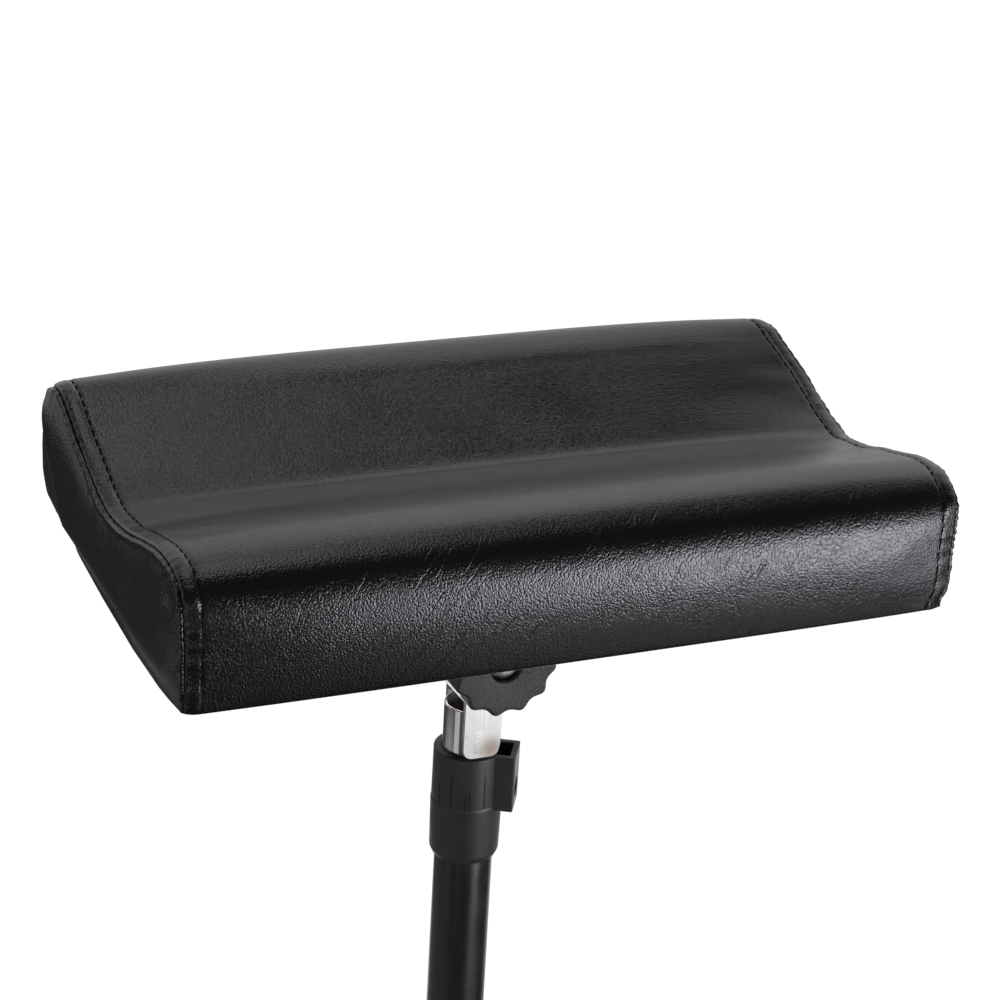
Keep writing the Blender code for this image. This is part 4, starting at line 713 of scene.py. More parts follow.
def endRows(side, section, shares):
    # the end panel, from the seam down to its lower edge, swollen away from the seam
    seam = coverRow(side * cushion["half"], section)
    low = seam.copy()
    path = np.linspace(0.0, 1.0, len(seam))
    low[:, 1] = seam[0, 1] + (seam[-1, 1] - seam[0, 1]) * path
    low[:, 2] = seam[0, 2] + (seam[-1, 2] - seam[0, 2]) * path
    low[:, 0] = seam[0, 0] + (seam[-1, 0] - seam[0, 0]) * smooth((path - 0.75) / 0.25)
    if side < 0:
        low[:, 0] -= tableAt(cushion["lowerFlare"], path)
    else:
        low[:, 0] += cushion["rightFlare"] * smooth(path / 0.12) * smooth((1 - path) / 0.25)
    span = np.linalg.norm(seam - low, axis=1)
    rows = []
    for share in shares:
        row = seam * (1 - share) + low * share
        gap = np.linalg.norm(row[:, None, 1:] - seam[None, :, 1:], axis=2).min(axis=1)
        swell = tableAt(cushion["leftBulge" if side < 0 else "rightBulge"], row[:, 1])
        swell = swell * (1 - np.exp(-gap / cushion["bulgeReach"])) * smooth((row[:, 2] - low[:, 2]) / 0.013)
        row[:, 0] += side * swell
        rows.append(row)
    return rows, span


def coverGrid(mainPlaces, endShares, columns):
    # rows in order: left end panel from its lower edge up, the cover, right end panel down
    ends, length = evenCurve(cushion["section"], columns)
    back = cushion["middleBack"]
    section = ends, evenCurve(cushion["section"][:-len(back)] + back, columns)[0]
    left, span = endRows(-1, section, endShares)
    right, span = endRows(1, section, endShares)
    rows = left[:0:-1] + [coverRow(x, section) for x in mainPlaces] + right[1:]
    return np.array(rows), length, span


def rowPlaces(mainPlaces, endShares):
    # one number along the rows: metres over the cover, then 1 + share over each end panel
    half = cushion["half"]
    left = [-1 - share for share in endShares[:0:-1]]
    right = [1 + share for share in endShares[1:]]
    return np.array(left + [x / half for x in mainPlaces] + right)


def weldPoints(points, faces):
    # points that lie on one another become one: the cloth solver stops at an edge with no length
    firsts = {}
    owner = []
    kept = []
    for point in points:
        spot = tuple(np.round(point, 6))
        if spot not in firsts:
            firsts[spot] = len(kept)
            kept.append(point)
        owner.append(firsts[spot])
    joined = [list(dict.fromkeys(owner[index] for index in face)) for face in faces]
    return np.array(kept), [face[::-1] for face in joined if len(face) > 2], np.array(owner)


def swellCover():
    # cloth under pressure on a coarse copy; returns how far each of its points moved
    half = cushion["half"]
    mainPlaces = list(np.linspace(-half, half, 75))
    endShares = [i / 9 for i in range(10)]
    columns = 84
    grid, length, span = coverGrid(mainPlaces, endShares, columns)
    rows = len(grid)
    flat = grid.reshape(-1, 3)
    welded, faces, owner = weldPoints(flat, bandFaces(rows, columns, closed=False))
    mesh = meshOf("swell", welded, faces)
    piece = bpy.data.objects.new("swell", mesh)
    bpy.context.scene.collection.objects.link(piece)
    held = piece.vertex_groups.new(name="held")
    drawn = piece.vertex_groups.new(name="drawn")
    places = rowPlaces(mainPlaces, endShares)
    for row in range(rows):
        atSeam = abs(abs(places[row]) - 1) < 1e-6
        for column in range(columns):
            index = int(owner[row * columns + column])
            edge = row in (0, rows - 1) or column in (0, columns - 1)
            held.add([index], 1.0 if edge else (0.55 if atSeam else 0.12), "REPLACE")
            drawn.add([index], 1.0 if atSeam else 0.0, "REPLACE")
    cloth = piece.modifiers.new("cloth", "CLOTH")
    settings = cloth.settings
    settings.quality = 6
    settings.mass = 0.15
    settings.use_pressure = True
    settings.uniform_pressure_force = cushion["pressure"]
    settings.tension_stiffness = settings.compression_stiffness = 25
    settings.shear_stiffness = 12
    settings.bending_stiffness = 1.2
    settings.vertex_group_mass = "held"
    settings.pin_stiffness = 1.0
    settings.vertex_group_shrink = "drawn"
    settings.shrink_min = 0.0
    settings.shrink_max = 0.05
    settings.effector_weights.gravity = 0.0
    cloth.collision_settings.use_collision = False
    scene = bpy.context.scene
    for step in range(1, 21):
        scene.frame_set(step)
    graph = bpy.context.evaluated_depsgraph_get()
    result = piece.evaluated_get(graph).to_mesh()
    moved = np.zeros(len(welded) * 3)
    result.vertices.foreach_get("co", moved)
    piece.evaluated_get(graph).to_mesh_clear()
    scene.frame_set(1)
    bpy.data.objects.remove(piece)
    shift = (moved.reshape(-1, 3) - welded)[owner]
    size = np.linalg.norm(shift, axis=1)
    limit = cushion["swellCap"] / (cushion["swellCap"] + size)
    print("cloth moved up to", round(float(size.max()) * 1000, 2), "mm, mean", round(float(size.mean()) * 1000, 2))
    swell = (shift * limit[:, None]).reshape(rows, columns, 3)
    for turn in range(3):
        swell[1:-1] = (swell[:-2] + 2 * swell[1:-1] + swell[2:]) / 4
        swell[:, 1:-1] = (swell[:, :-2] + 2 * swell[:, 1:-1] + swell[:, 2:]) / 4
    return swell, places


def spreadShift(shift, places, finePlaces, columns):
    # the coarse movement, read at the fine grid's rows and columns
    rows, coarse, _ = shift.shape
    across = np.linspace(0, coarse - 1, columns)
    lower = np.minimum(across.astype(int), coarse - 2)
    part = (across - lower)[None, :, None]
    wide = shift[:, lower] * (1 - part) + shift[:, lower + 1] * part
    index = np.interp(finePlaces, places, np.arange(rows))
    lower = np.minimum(index.astype(int), rows - 2)
    part = (index - lower)[:, None, None]
    return wide[lower] * (1 - part) + wide[lower + 1] * part


def waviness(places, pitch, seed):
    # smooth random line along a seam
    return np.array([noise.noise(Vector((place / pitch, seed, 0.37 * seed))) for place in places])


def bump(distance, centre, width):
    return np.exp(-((distance - centre) / width) ** 2)


def buildCushion():
    half = cushion["half"]
    columns = cushion["columns"]
    offsets = [0, .0005, .0011, .0019, .0028, .0038, .0049, .006, .007, .0077, .0082, .0087, .0094, .0104,
               .0118, .0136, .016, .019, .0225, .0265, .031]
    middle = list(np.linspace(-half + 0.035, half - 0.035, 72))
    mainPlaces = [-half + d for d in offsets] + middle + [half - d for d in reversed(offsets)]
    endShares = [0, .008, .02, .036, .056, .08, .11, .145, .19, .24, .30, .36, .42, .48, .54, .60, .66, .72,
                 .78, .84, .89, .93, .96, .98, 1.0]
    grid, length, span = coverGrid(mainPlaces, endShares, columns)
    finePlaces = rowPlaces(mainPlaces, endShares)
    shift, places = swellCover()
    grid += spreadShift(shift, places, finePlaces, columns)
    rows = len(grid)
    faces = bandFaces(rows, columns, closed=False)
    mesh = meshOf("cover", grid.reshape(-1, 3), faces)
    normals = np.zeros(rows * columns * 3)
    mesh.vertex_normals.foreach_get("vector", normals)
    normals = normals.reshape(rows, columns, 3)
    if normals[rows // 2, columns // 2, 2] < 0:
        normals = -normals
        mesh.flip_normals()
    along = np.linspace(0, length, columns)
    relief = coverRelief(finePlaces, endShares, along, span)
    fade = np.clip((grid[:, :, 2] + 0.002) / 0.006, 0, 1)
    grid += normals * (relief * fade)[:, :, None]
    bpy.data.meshes.remove(mesh)
    solid = closeUnderside(grid, rows, columns)
    skin = skinPlaces(finePlaces, along, grid, len(solid.vertices))
    solid.attributes.new("skinPlace", "FLOAT_VECTOR", "POINT").data.foreach_set("vector", skin.ravel())
    solid.transform(Matrix.Translation((0.0, 0.0, padLevel)))
    piece = addPiece("cushionCover", outward(solid), leather, "pad", ["pad_cushion"])
    stitchRows(grid, normals, finePlaces, along)
    return piece


def skinPlaces(finePlaces, along, grid, total):
    # where each point lies on the flat hide: the cover's own length and width, the ends as seen from the end
    half = cushion["half"]
    skin = np.zeros((total, 3))
    places = np.zeros((len(finePlaces), len(along), 3))
    for row, place in enumerate(finePlaces):
        if abs(place) <= 1:
            places[row, :, 0] = place * half
            places[row, :, 1] = along
        else:
            places[row, :, 0] = grid[row, :, 1] + 3.0 * place / abs(place)
            places[row, :, 1] = grid[row, :, 2]
    flat = places.reshape(-1, 3)
    skin[:len(flat)] = flat
    return skin


def coverRelief(finePlaces, endShares, along, span):
    # heights on the skin: seam groove, folded allowance, topstitch, puckers and soft waves
    half = cushion["half"]
    relief = np.zeros((len(finePlaces), len(along)))
    beat = np.cos(2 * np.pi * along / cushion["stitch"])
    pull = waviness(along, 0.006, 1.3)
    fold = waviness(along, 0.014, 5.1)
    tuck = waviness(along, 0.0045, 9.2)
    corner = bump(along, 0.040, 0.022)  # the tight stretch up the front edge
    upright = 0.18 + 0.82 * smooth((along - 0.042) / 0.014)
    scallop = np.abs(np.sin(np.pi * along / cushion["stitch"])) ** 0.6
    stitchLine = cushion["topstitch"]
    for row, place in enumerate(finePlaces):
        if abs(place) <= 1:
            side = 1.0 if place > 0 else -1.0
            off = (1 - abs(place)) * half
            groove = -0.0011 * bump(off, 0, 0.0007) * (1 + 0.12 * beat)
            band = 0.00034 * (1 / (1 + np.exp(-(off - 0.0014) / 0.0004))) * (1 / (1 + np.exp((off - 0.0068) / 0.0006)))
            stitched = -0.00066 * bump(off, stitchLine, 0.0008) * (1 - 0.15 * beat) * upright
            pucker = (0.00026 * pull + 0.00020 * tuck) * bump(off, 0.0042, 0.0032)
            inner = 0.00045 * fold * np.exp(-max(0.0, off - stitchLine) / 0.009) * (off > stitchLine)
            relief[row] = groove + band * upright + stitched + pucker * (1 + 1.2 * corner) + inner * (1 + corner)
            relief[row] += 0.00012 * side * beat * bump(off, 0.0, 0.002)
        else:
            share = abs(place) - 1
            off = share * span
            groove = -0.0011 * bump(off, 0, 0.0007) * (1 + 0.12 * beat)
            puff = 0.00085 * bump(off, 0.0018, 0.0011) * (0.45 + 0.55 * scallop)
            pucker = (0.00030 * pull + 0.00022 * tuck) * bump(off, 0.004, 0.004)
            gathers = 0.00042 * np.sin(2 * np.pi * along / 0.0034 + 3 * pull) * np.exp(-off / 0.0055)
            sag = 0.0007 * fold * np.exp(-off / 0.016)
            relief[row] = groove + puff + pucker * (1 + corner) + sag + gathers * corner ** 2
            dent = np.exp(-((along - 0.062) / 0.010) ** 2 - ((off - 0.010) / 0.007) ** 2)
            relief[row] -= 0.0022 * dent
    return relief


def closeUnderside(grid, rows, columns):
    # turns the lower edge under and lines the pocket that holds the board
    points = list(grid.reshape(-1, 3))
    faces = bandFaces(rows, columns, closed=False)
    loop = [row * columns for row in range(rows)]
    loop += [(rows - 1) * columns + column for column in range(1, columns)]
    loop += [row * columns + columns - 1 for row in range(rows - 2, -1, -1)]
    loop += [column for column in range(columns - 2, 0, -1)]
    rim = np.array([points[i] for i in loop])
    centre = np.array([0.0, cushion["centre"] - 0.0005, 0.0])
    previous = loop
    boardLow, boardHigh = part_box("pad_board")
    pocketX = (boardHigh.x - boardLow.x) / 2 + 0.0006
    pocketY = (boardHigh.y - boardLow.y) / 2 + 0.0006
    outerY = (rim[:, 1].max() - rim[:, 1].min()) / 2
    under = -0.0002  # the turned edge covers the dust cloth's border
    for share, height in ((0.12, under), (0.5, under), (1.0, under), (1.0, cushion["pocket"]),
                          (1.45, cushion["pocket"])):
        scaleX = 1 + (pocketX / cushion["half"] - 1) * share
        scaleY = 1 + (pocketY / outerY - 1) * share
        ring = (rim - centre) * (scaleX, scaleY, 1.0) + centre
        ring[:, 2] = height
        start = len(points)
        points += list(ring)
        current = list(range(start, start + len(loop)))
        for i in range(len(loop)):
            j = (i + 1) % len(loop)
            faces.append((previous[i], previous[j], current[j], current[i]))
        previous = current
    points.append(np.array([0.0, centre[1], cushion["pocket"]]))
    tip = len(points) - 1
    faces += [(previous[i], previous[(i + 1) % len(loop)], tip) for i in range(len(loop))]
    return meshOf("cushionCover", points, faces)


def stitchRows(grid, normals, finePlaces, along):
    # thread on the topstitch lines and down in the end seams
    half = cushion["half"]
    for label, off, lift, radius, gap in (("topstitch", cushion["topstitch"], 0.00012, 0.00037, 0.0),
                                          ("seamStitch", 0.0, 0.00010, 0.00036, 0.0)):
        points = []
        faces = []
        for side in (-1, 1):
            row = int(np.argmin(np.abs(finePlaces - side * (1 - off / half))))
            line = grid[row] + normals[row] * lift
            count = int(along[-1] / cushion["stitch"])
            for i in range(count):
                start = (i + gap / 2) * cushion["stitch"]
                end = (i + 1 - gap / 2) * cushion["stitch"]
                sweepStitch(points, faces, line, normals[row], along, start, end, radius)
        mesh = meshOf(label, [Vector(point) + Vector((0, 0, padLevel)) for point in points], faces)
        addPiece(label + "Thread", outward(mesh), thread, "pad")


def sweepStitch(points, faces, line, normal, along, start, end, radius):
    stations = 6
    sides = 6
    first = len(points)
    for step in range(stations):
        share = step / (stations - 1)
        place = start + (end - start) * share
        centre = np.array([np.interp(place, along, line[:, k]) for k in range(3)])
        up = np.array([np.interp(place, along, normal[:, k]) for k in range(3)])
        ahead = np.array([np.interp(place + 0.0003, along, line[:, k]) for k in range(3)]) - centre
        if np.linalg.norm(ahead) < 1e-9:
            ahead = centre - np.array([np.interp(place - 0.0003, along, line[:, k]) for k in range(3)])
        ahead /= np.linalg.norm(ahead)
        across = np.cross(ahead, up)
        across /= np.linalg.norm(across)
        up = np.cross(across, ahead)
        sink = 0.0003 * (2 * share - 1) ** 4
        centre = centre + across * 0.00022 * (2 * share - 1)
        size = radius * (1 - 0.5 * (2 * share - 1) ** 6)
        for side in range(sides):
            angle = 2 * math.pi * side / sides
            points.append(centre - up * sink + (across * math.cos(angle) + up * math.sin(angle)) * size)
    faces += bandFaces(stations, sides, first=first)
    faces.append(tuple(range(first + sides - 1, first - 1, -1)))
    faces.append(tuple(range(first + (stations - 1) * sides, first + stations * sides)))


def buildBoard():
    # the board with round corners, trimmed to what the cover leaves it
    low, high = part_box("pad_board")
    outline = filleted(box(low.x + 0.0035, high.x - 0.0045, low.y + 0.001, high.y - 0.006), [0.010] * 4, 6)
    mesh = plateMesh("padBoard", outline, high.z - low.z, Matrix.Translation((0, 0, low.z)))
    roundEdges(addPiece("padBoard", mesh, plywood, "pad", ["pad_board"], 40), 0.0005)


buildCushion()
buildBoard()
print("cushion made")


# Bracket, lugs, mast and pivot

headParts = {
    "bracketEdge": 0.0006,
    "lugEdge": 0.0005,
    "tubeSteps": 144,
    "boltSteps": 64,
    "backEarIn": 0.0056,
    "beadX": (-0.0056, 0.0016),
    "beadZ": (0.4668, 0.4790),
    "beadPitch": 0.00130,
    "beadHeight": 0.00006,
}


def paintBoreShade(piece):
    # painted shade: the inside of the tube takes a dull dark grey instead of chrome, standing in for the shade down
    # the bore
    low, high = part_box("mast_tube")
    piece.data.materials.append(boreShadeGrey)
    for face in piece.data.polygons:
        outwards = Vector((face.center.x - (low.x + high.x) / 2, face.center.y - (low.y + high.y) / 2, 0.0))
        if face.normal.dot(outwards.normalized()) < -0.5:
            face.material_index = 1


def narrowBackEar(piece):
    # the ear behind the mast is a little narrower than the front one
    low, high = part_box("tilt_bracket")
    for vertex in piece.data.vertices:
        point = vertex.co
        if point.y > (low.y + high.y) / 2 and point.z < high.z - 0.004:
            share = min(max((abs(point.x) - 0.009) / 0.010, 0.0), 1.0)
            vertex.co.x -= math.copysign(headParts["backEarIn"] * share, point.x)


def buildWeld():
    # a short bead of ripples on the front lug
    low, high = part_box("front_lug")
    across, up = 25, 61
    points = []
    for row in range(up):
        v = row / (up - 1)
        for column in range(across):
            u = column / (across - 1)
            x = headParts["beadX"][0] + (headParts["beadX"][1] - headParts["beadX"][0]) * u
            z = headParts["beadZ"][0] + (headParts["beadZ"][1] - headParts["beadZ"][0]) * v
            ripple = 0.5 + 0.5 * math.sin(2 * math.pi * (z + 0.45 * x) / headParts["beadPitch"])
            edge = math.sin(math.pi * u) ** 2 * math.sin(math.pi * v) ** 0.6
            height = headParts["beadHeight"] * edge * (0.7 + 0.3 * ripple) - 0.000005
            points.append((x, low.y - height, z))
    mesh = meshOf("lugBead", points, bandFaces(up, across, closed=False))
    if mesh.polygons[0].normal.y > 0:
        mesh.flip_normals()
    addPiece("lugBead", mesh, lugChrome, frame["nodes"]["front_lug"]["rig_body"])


def buildHead():
    narrowBackEar(roundedCopy("tilt_bracket", chrome, headParts["bracketEdge"]))
    for lug in ("front_lug", "back_lug"):
        roundedCopy(lug, lugChrome, headParts["lugEdge"])
    buildWeld()
    up = (0.0, 0.0, 1.0)
    across = (0.0, 1.0, 0.0)
    paintBoreShade(reTurned("mast_tube", up, mastChrome, 0.0004, headParts["tubeSteps"]))
    reTurned("pivot_bolt", across, zinc, 0.0006, headParts["boltSteps"])
    reTurned("knob_washer", across, zinc, 0.0003, headParts["boltSteps"])
    for nut in ("pivot_nut", "clamp_weld_nut"):
        roundedCopy(nut, zinc, 0.0005)
    for i in range(4):
        reTurned(f"bracket_screw_{i + 1}", up, zinc, 0.0005, 40)


buildHead()
print("bracket and mast made")


# Tilt knob: twelve shallow lobes, a rounded rim and a recess for the bolt's head

tiltKnob = {
    "radius": 0.0244, "lobe": 0.0012, "lobes": 12, "firstLobe": math.radians(-8.5), "lobeSteps": 24,
    "thickness": 0.014, "hubRadius": 0.010, "hubHeight": 0.0051, "edge": 0.0018, "bore": 0.0043,
    "recess": 0.0081, "recessDepth": 0.0065, "recessEdge": 0.0006,
    "clampDrop": 0.046,  # the bolt's axis below the pad
    "back": -0.0204,  # the hub's back
}


def wavyRing(sizes, inset, height, first=0.0):
    count = sizes["lobes"] * sizes["lobeSteps"]
    ring = []
    for i in range(count):
        angle = 2 * math.pi * i / count
        wave = math.cos(sizes["lobes"] * (angle - first))
        crest = wave - 0.16 * (1 - wave * wave)  # lobes a little fuller than the hollows
        reach = sizes["radius"] - inset + sizes["lobe"] * crest
        ring.append((reach * math.cos(angle), reach * math.sin(angle), height))
    return ring


def roundRing(sizes, radius, height):
    count = sizes["lobes"] * sizes["lobeSteps"]
    return [(radius * math.cos(2 * math.pi * i / count), radius * math.sin(2 * math.pi * i / count), height)
            for i in range(count)]


def knobRings(sizes):
    back = sizes["hubHeight"]
    face = back + sizes["thickness"]
    edge = sizes["edge"]
    first = sizes["firstLobe"]
    rings = [roundRing(sizes, sizes["hubRadius"] - 0.0004, 0.0), roundRing(sizes, sizes["hubRadius"], 0.0004),
             roundRing(sizes, sizes["hubRadius"], back - 0.0005),
             roundRing(sizes, sizes["hubRadius"] + 0.0005, back)]
    for i in range(7):
        turn = math.pi / 2 * i / 6
        rings.append(wavyRing(sizes, edge * (1 - math.sin(turn)), back + edge * (1 - math.cos(turn)), first))
    for i in range(7):
        turn = math.pi / 2 * i / 6
        rings.append(wavyRing(sizes, edge * (1 - math.cos(turn)), face - edge * (1 - math.sin(turn)), first))
    rings.append(wavyRing(sizes, edge * 1.6, face + 0.00004, first))
    return rings, face


def buildTiltKnob():
    sizes = tiltKnob
    rings, face = knobRings(sizes)
    recess, rim = sizes["recess"], sizes["recessEdge"]
    for i in range(5):
        turn = math.pi / 2 * i / 4
        rings.append(roundRing(sizes, recess + rim * (1 - math.sin(turn)), face - rim * (1 - math.cos(turn))))
    floor = face - sizes["recessDepth"]
    rings += [roundRing(sizes, recess, floor), roundRing(sizes, sizes["bore"], floor),
              roundRing(sizes, sizes["bore"], 0.0)]
    seat = Matrix.Translation((0.0, sizes["back"], padLevel - sizes["clampDrop"]))
    facing = seat @ Matrix.Rotation(math.pi / 2, 4, "X")
    addPiece("tiltKnob", loftMesh("tiltKnob", rings, facing), knobPlastic, "tilt_clamp",
             ["tilt_knob"], 50)
    low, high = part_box("clamp_bolt")
    headSeat = floor + 0.0003
    tip = sizes["back"] - high.y
    flats = 0.013
    hexagon = arc(flats / 2 / math.cos(math.pi / 6), 6, start=math.pi / 6)
    head = plateMesh("head", hexagon, 0.0053, facing @ Matrix.Translation((0, 0, headSeat)))
    dome = [(0, headSeat - 0.002), (0.0095, headSeat - 0.002), (0.0070, headSeat + 0.0036),
            (0.0061, headSeat + 0.0043), (0.0050, headSeat + 0.0048), (0.0036, headSeat + 0.0051),
            (0.0018, headSeat + 0.0053), (0, headSeat + 0.0053)]
    crown = turnedMesh("crown", dome, 96, facing)
    shank = rodMesh(0.004, tip, headSeat + 0.002, facing)
    mesh = carved("clampBolt", head, adds=[shank], crossings=[])
    mesh = carved("clampBolt", mesh, cuts=[crownCut(dome, headSeat, facing)])
    bpy.data.meshes.remove(crown)
    bolt = addPiece("clampBolt", mesh, zinc, "tilt_clamp", ["clamp_bolt"], 30)
    roundEdges(bolt, 0.00025, 28, 2)


def crownCut(dome, seat, facing):
    # what a hexagon loses to the chamfer and dome of its head
    wide = 0.012
    over = seat + 0.010
    ring = [(wide, dome[1][1])] + [point for point in dome[1:-1]] + [(0.0005, dome[-1][1] + 0.00001),
                                                                    (0.0005, over), (wide, over)]
    return turnedMesh("crownCut", ring, 96, facing, ring=True)


buildTiltKnob()
print("tilt knob made")


# Column: outer tube, top collar with its boss, screws

topCollar = {
    "radius": 0.0168, "skirt": 0.0171, "skirtLow": 0.0166, "skirtHeight": 0.0301, "foot": 0.0150,
    "footHeight": 0.0034, "bore": 0.01295, "lowerBore": 0.0143, "seat": 0.0202,
    "bossWidth": 0.0187, "bossReach": 0.0235, "bossHeight": 0.0287, "holeDrop": 0.0193, "holeRadius": 0.005,
    "pocketStart": 0.01395, "pocketLength": 0.0069, "pocketWidth": 0.0136, "pocketDepth": 0.0271,
    "edge": 0.0005,
    "grooves": [  # angle from the front towards +X, width, depth, drop below the pad at top and bottom
        (-47.8, 0.0010, 0.00042, 0.1157, 0.1328), (7.3, 0.0010, 0.00042, 0.1157, 0.1328),
        (-24.0, 0.0006, 0.00030, 0.1232, 0.1334), (-17.5, 0.0006, 0.00030, 0.1232, 0.1334),
        (-72.5, 0.0010, 0.00030, 0.1215, 0.1328), (48.0, 0.0010, 0.00042, 0.1157, 0.1328)],
    "mark": (-34.0, 0.1303, 0.00085),
}


def faceOut(degrees, height, reach):
    # a frame on the column's surface at an angle from -Y, with Z outwards and Y up
    angle = math.radians(degrees)
    out = Vector((math.sin(angle), -math.cos(angle), 0.0))
    side = Vector((math.cos(angle), math.sin(angle), 0.0))
    turn = Matrix((side, Vector((0, 0, 1)), out)).transposed().to_4x4()
    return Matrix.Translation(out * reach + Vector((0, 0, height))) @ turn


def buildTopCollar():
    sizes = topCollar
    low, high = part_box("top_collar")
    bottom, top = low.z, high.z
    shoulder = bottom + sizes["skirtHeight"]
    outline = [(sizes["lowerBore"], bottom), (sizes["foot"], bottom),
               (sizes["skirtLow"], bottom + sizes["footHeight"]), (sizes["skirt"], shoulder - 0.0010),
               (sizes["radius"], shoulder + 0.0002), (sizes["radius"] - 0.0001, top), (sizes["bore"], top),
               (sizes["bore"], bottom + sizes["seat"]), (sizes["lowerBore"], bottom + sizes["seat"])]
    radii = [0.0002, 0.0012, 0.0030, 0.0008, 0.0006, 0.0009, 0.0004, 0.0, 0.0]
    body = turnedMesh("body", filleted(outline, radii), 240, ring=True)
    turn = Matrix.Rotation(footTurn, 4, "Z")
    half = sizes["bossWidth"] / 2
    start = sizes["bore"] + 0.0006
    boss = plateMesh("boss", filleted(box(start, sizes["bossReach"], -half, half), [0, 0.0009, 0.0009, 0], 4),
                     sizes["bossHeight"], turn @ Matrix.Translation((0, 0, top - sizes["bossHeight"])))
    wide = sizes["pocketWidth"] / 2
    pocketEnd = sizes["pocketStart"] + sizes["pocketLength"]
    pocket = plateMesh("pocket", filleted(box(sizes["pocketStart"], pocketEnd, -wide, wide), [0.0004] * 4, 2),
                       sizes["pocketDepth"] + 0.002,
                       turn @ Matrix.Translation((0, 0, top - sizes["pocketDepth"])))
    hole = top - sizes["holeDrop"]
    outwards = lying((math.cos(footTurn), math.sin(footTurn), 0.0), (0, 0, hole))
    middle = (sizes["pocketStart"] + pocketEnd) / 2
    mouth = rodMesh(sizes["holeRadius"], middle, sizes["bossReach"] + 0.002, outwards, 64)
    inner = rodMesh(0.0043, 0.006, middle, outwards)
    bore = turnedMesh("bore", [(0, bottom + 0.030), (sizes["bore"], bottom + 0.030), (sizes["bore"], top - 0.0004),
                               (sizes["bore"] + 0.0024, top + 0.002), (0, top + 0.002)], 240)
    cuts = [bore, pocket, mouth, inner]
    for degrees, width, depth, upper, lower in sizes["grooves"]:
        height = padLevel - (upper + lower) / 2
        length = lower - upper
        face = faceOut(degrees, height, sizes["radius"] - depth)
        bar = filleted(box(-width / 2, width / 2, -length / 2, length / 2), [width * 0.45] * 4, 4)
        cuts.append(plateMesh("groove", bar, 0.003, face))
    degrees, drop, radius = sizes["mark"]
    face = faceOut(degrees, padLevel - drop, sizes["radius"] - 0.0002)
    cuts.append(turnedMesh("mark", [(radius - 0.0003, 0), (radius, 0), (radius, 0.003), (radius - 0.0003, 0.003)],
                           32, face, ring=True))
    mesh = carved("topCollar", body, adds=[boss], cuts=cuts)
    piece = addPiece("topCollar", mesh, collarPlastic, "column", ["top_collar"], 30)
    roundEdges(piece, 0.00022, 40, 2)


def buildColumn():
    low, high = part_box("outer_tube")
    radius, wall = 0.014, 0.0011
    outline = [(radius, low.z), (radius, high.z), (radius - wall, high.z), (radius - wall, low.z)]
    mesh = turnedMesh("outerTube", filleted(outline, [0.0003] * 4, 3), 144, ring=True)
    addPiece("outerTube", mesh, tubePaint, "column", ["outer_tube"], 40)
    back = (0.0, 1.0, 0.0)
    for screw in ("collar_screw", "hub_screw"):
        reTurned(screw, back, zinc, 0.0006, 48)
    for nut in ("collar_nut", "leg_lock_nut"):
        roundedCopy(nut, zinc, 0.0003)
    reTurned("mast_guide", (0.0, 0.0, 1.0), collarPlastic, 0.0004, 96)


buildTopCollar()
buildColumn()
print("column made")


# Folding tripod: hub, sliding collar, braces and legs

tripod = {
    "turns": (30, 150, 270),
    "open": math.radians(50),
    "reach": 0.027,
    "link": 0.166,
    "hubPivot": 0.036,
    "barrel": 0.0185,
    "barrelBore": 0.0143,
    "ear": 0.004,
    "gap": 0.017,  # between a fork's ears
    "legRadius": 0.008,
    "legWall": 0.0012,
    "pin": 0.0033,
    "lengthBelow": 0.206802,  # from the brace's pivot to the tube's end
    "footRadius": 0.0108,
    "footEnd": 0.007,
    "footCover": 0.026,
    "soleDrop": 0.142704,  # from the brace's pivot straight down to the floor
}


def standing(turn, across, height):
    # a plate's drawing plane stood on a radius of the column
    upright = Matrix.Translation((0.0, across, height)) @ Matrix.Rotation(math.pi / 2, 4, "X")
    return Matrix.Rotation(turn, 4, "Z") @ upright


def nose(root, reach, half):
    return [(root, half), (root, -half)] + arc(half, 24, (reach, 0.0), -math.pi / 2, math.pi)


def acrossRod(radius, reach, half, turn, height):
    lie = Matrix.Translation((reach, 0.0, height)) @ lying((0.0, 1.0, 0.0))
    return rodMesh(radius, -half, half, Matrix.Rotation(turn, 4, "Z") @ lie)


def barrelRing(bottom, top, groove=0.0):
    radius, bore = tripod["barrel"], tripod["barrelBore"]
    outline = [(bore, bottom), (radius, bottom)]
    radii = [0.0003, 0.0008]
    if groove:
        for height in (bottom + groove, top - groove):
            outline += [(radius, height - 0.0008), (radius - 0.0005, height), (radius, height + 0.0008)]
            radii += [0.0002] * 3
    outline += [(radius, top), (bore, top)]
    radii += [0.0008, 0.0003]
    return turnedMesh("barrel", filleted(outline, radii, 4), 144, ring=True)


def buildHub():
    low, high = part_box("lower_hub")
    lugs = []
    pins = []
    for degrees in tripod["turns"]:
        turn = math.radians(degrees)
        thick = tripod["gap"] - 0.0006
        lugs.append(plateMesh("lug", nose(0.0155, tripod["reach"], 0.008), thick,
                              standing(turn, thick / 2, tripod["hubPivot"])))
        pins.append(acrossRod(tripod["pin"], tripod["reach"], 0.015, turn, tripod["hubPivot"]))
    mesh = carved("lowerHub", barrelRing(low.z, high.z), adds=lugs, cuts=pins)
    roundEdges(addPiece("lowerHub", mesh, collarPlastic, "column", ["lower_hub"], 30), 0.0005, 40)


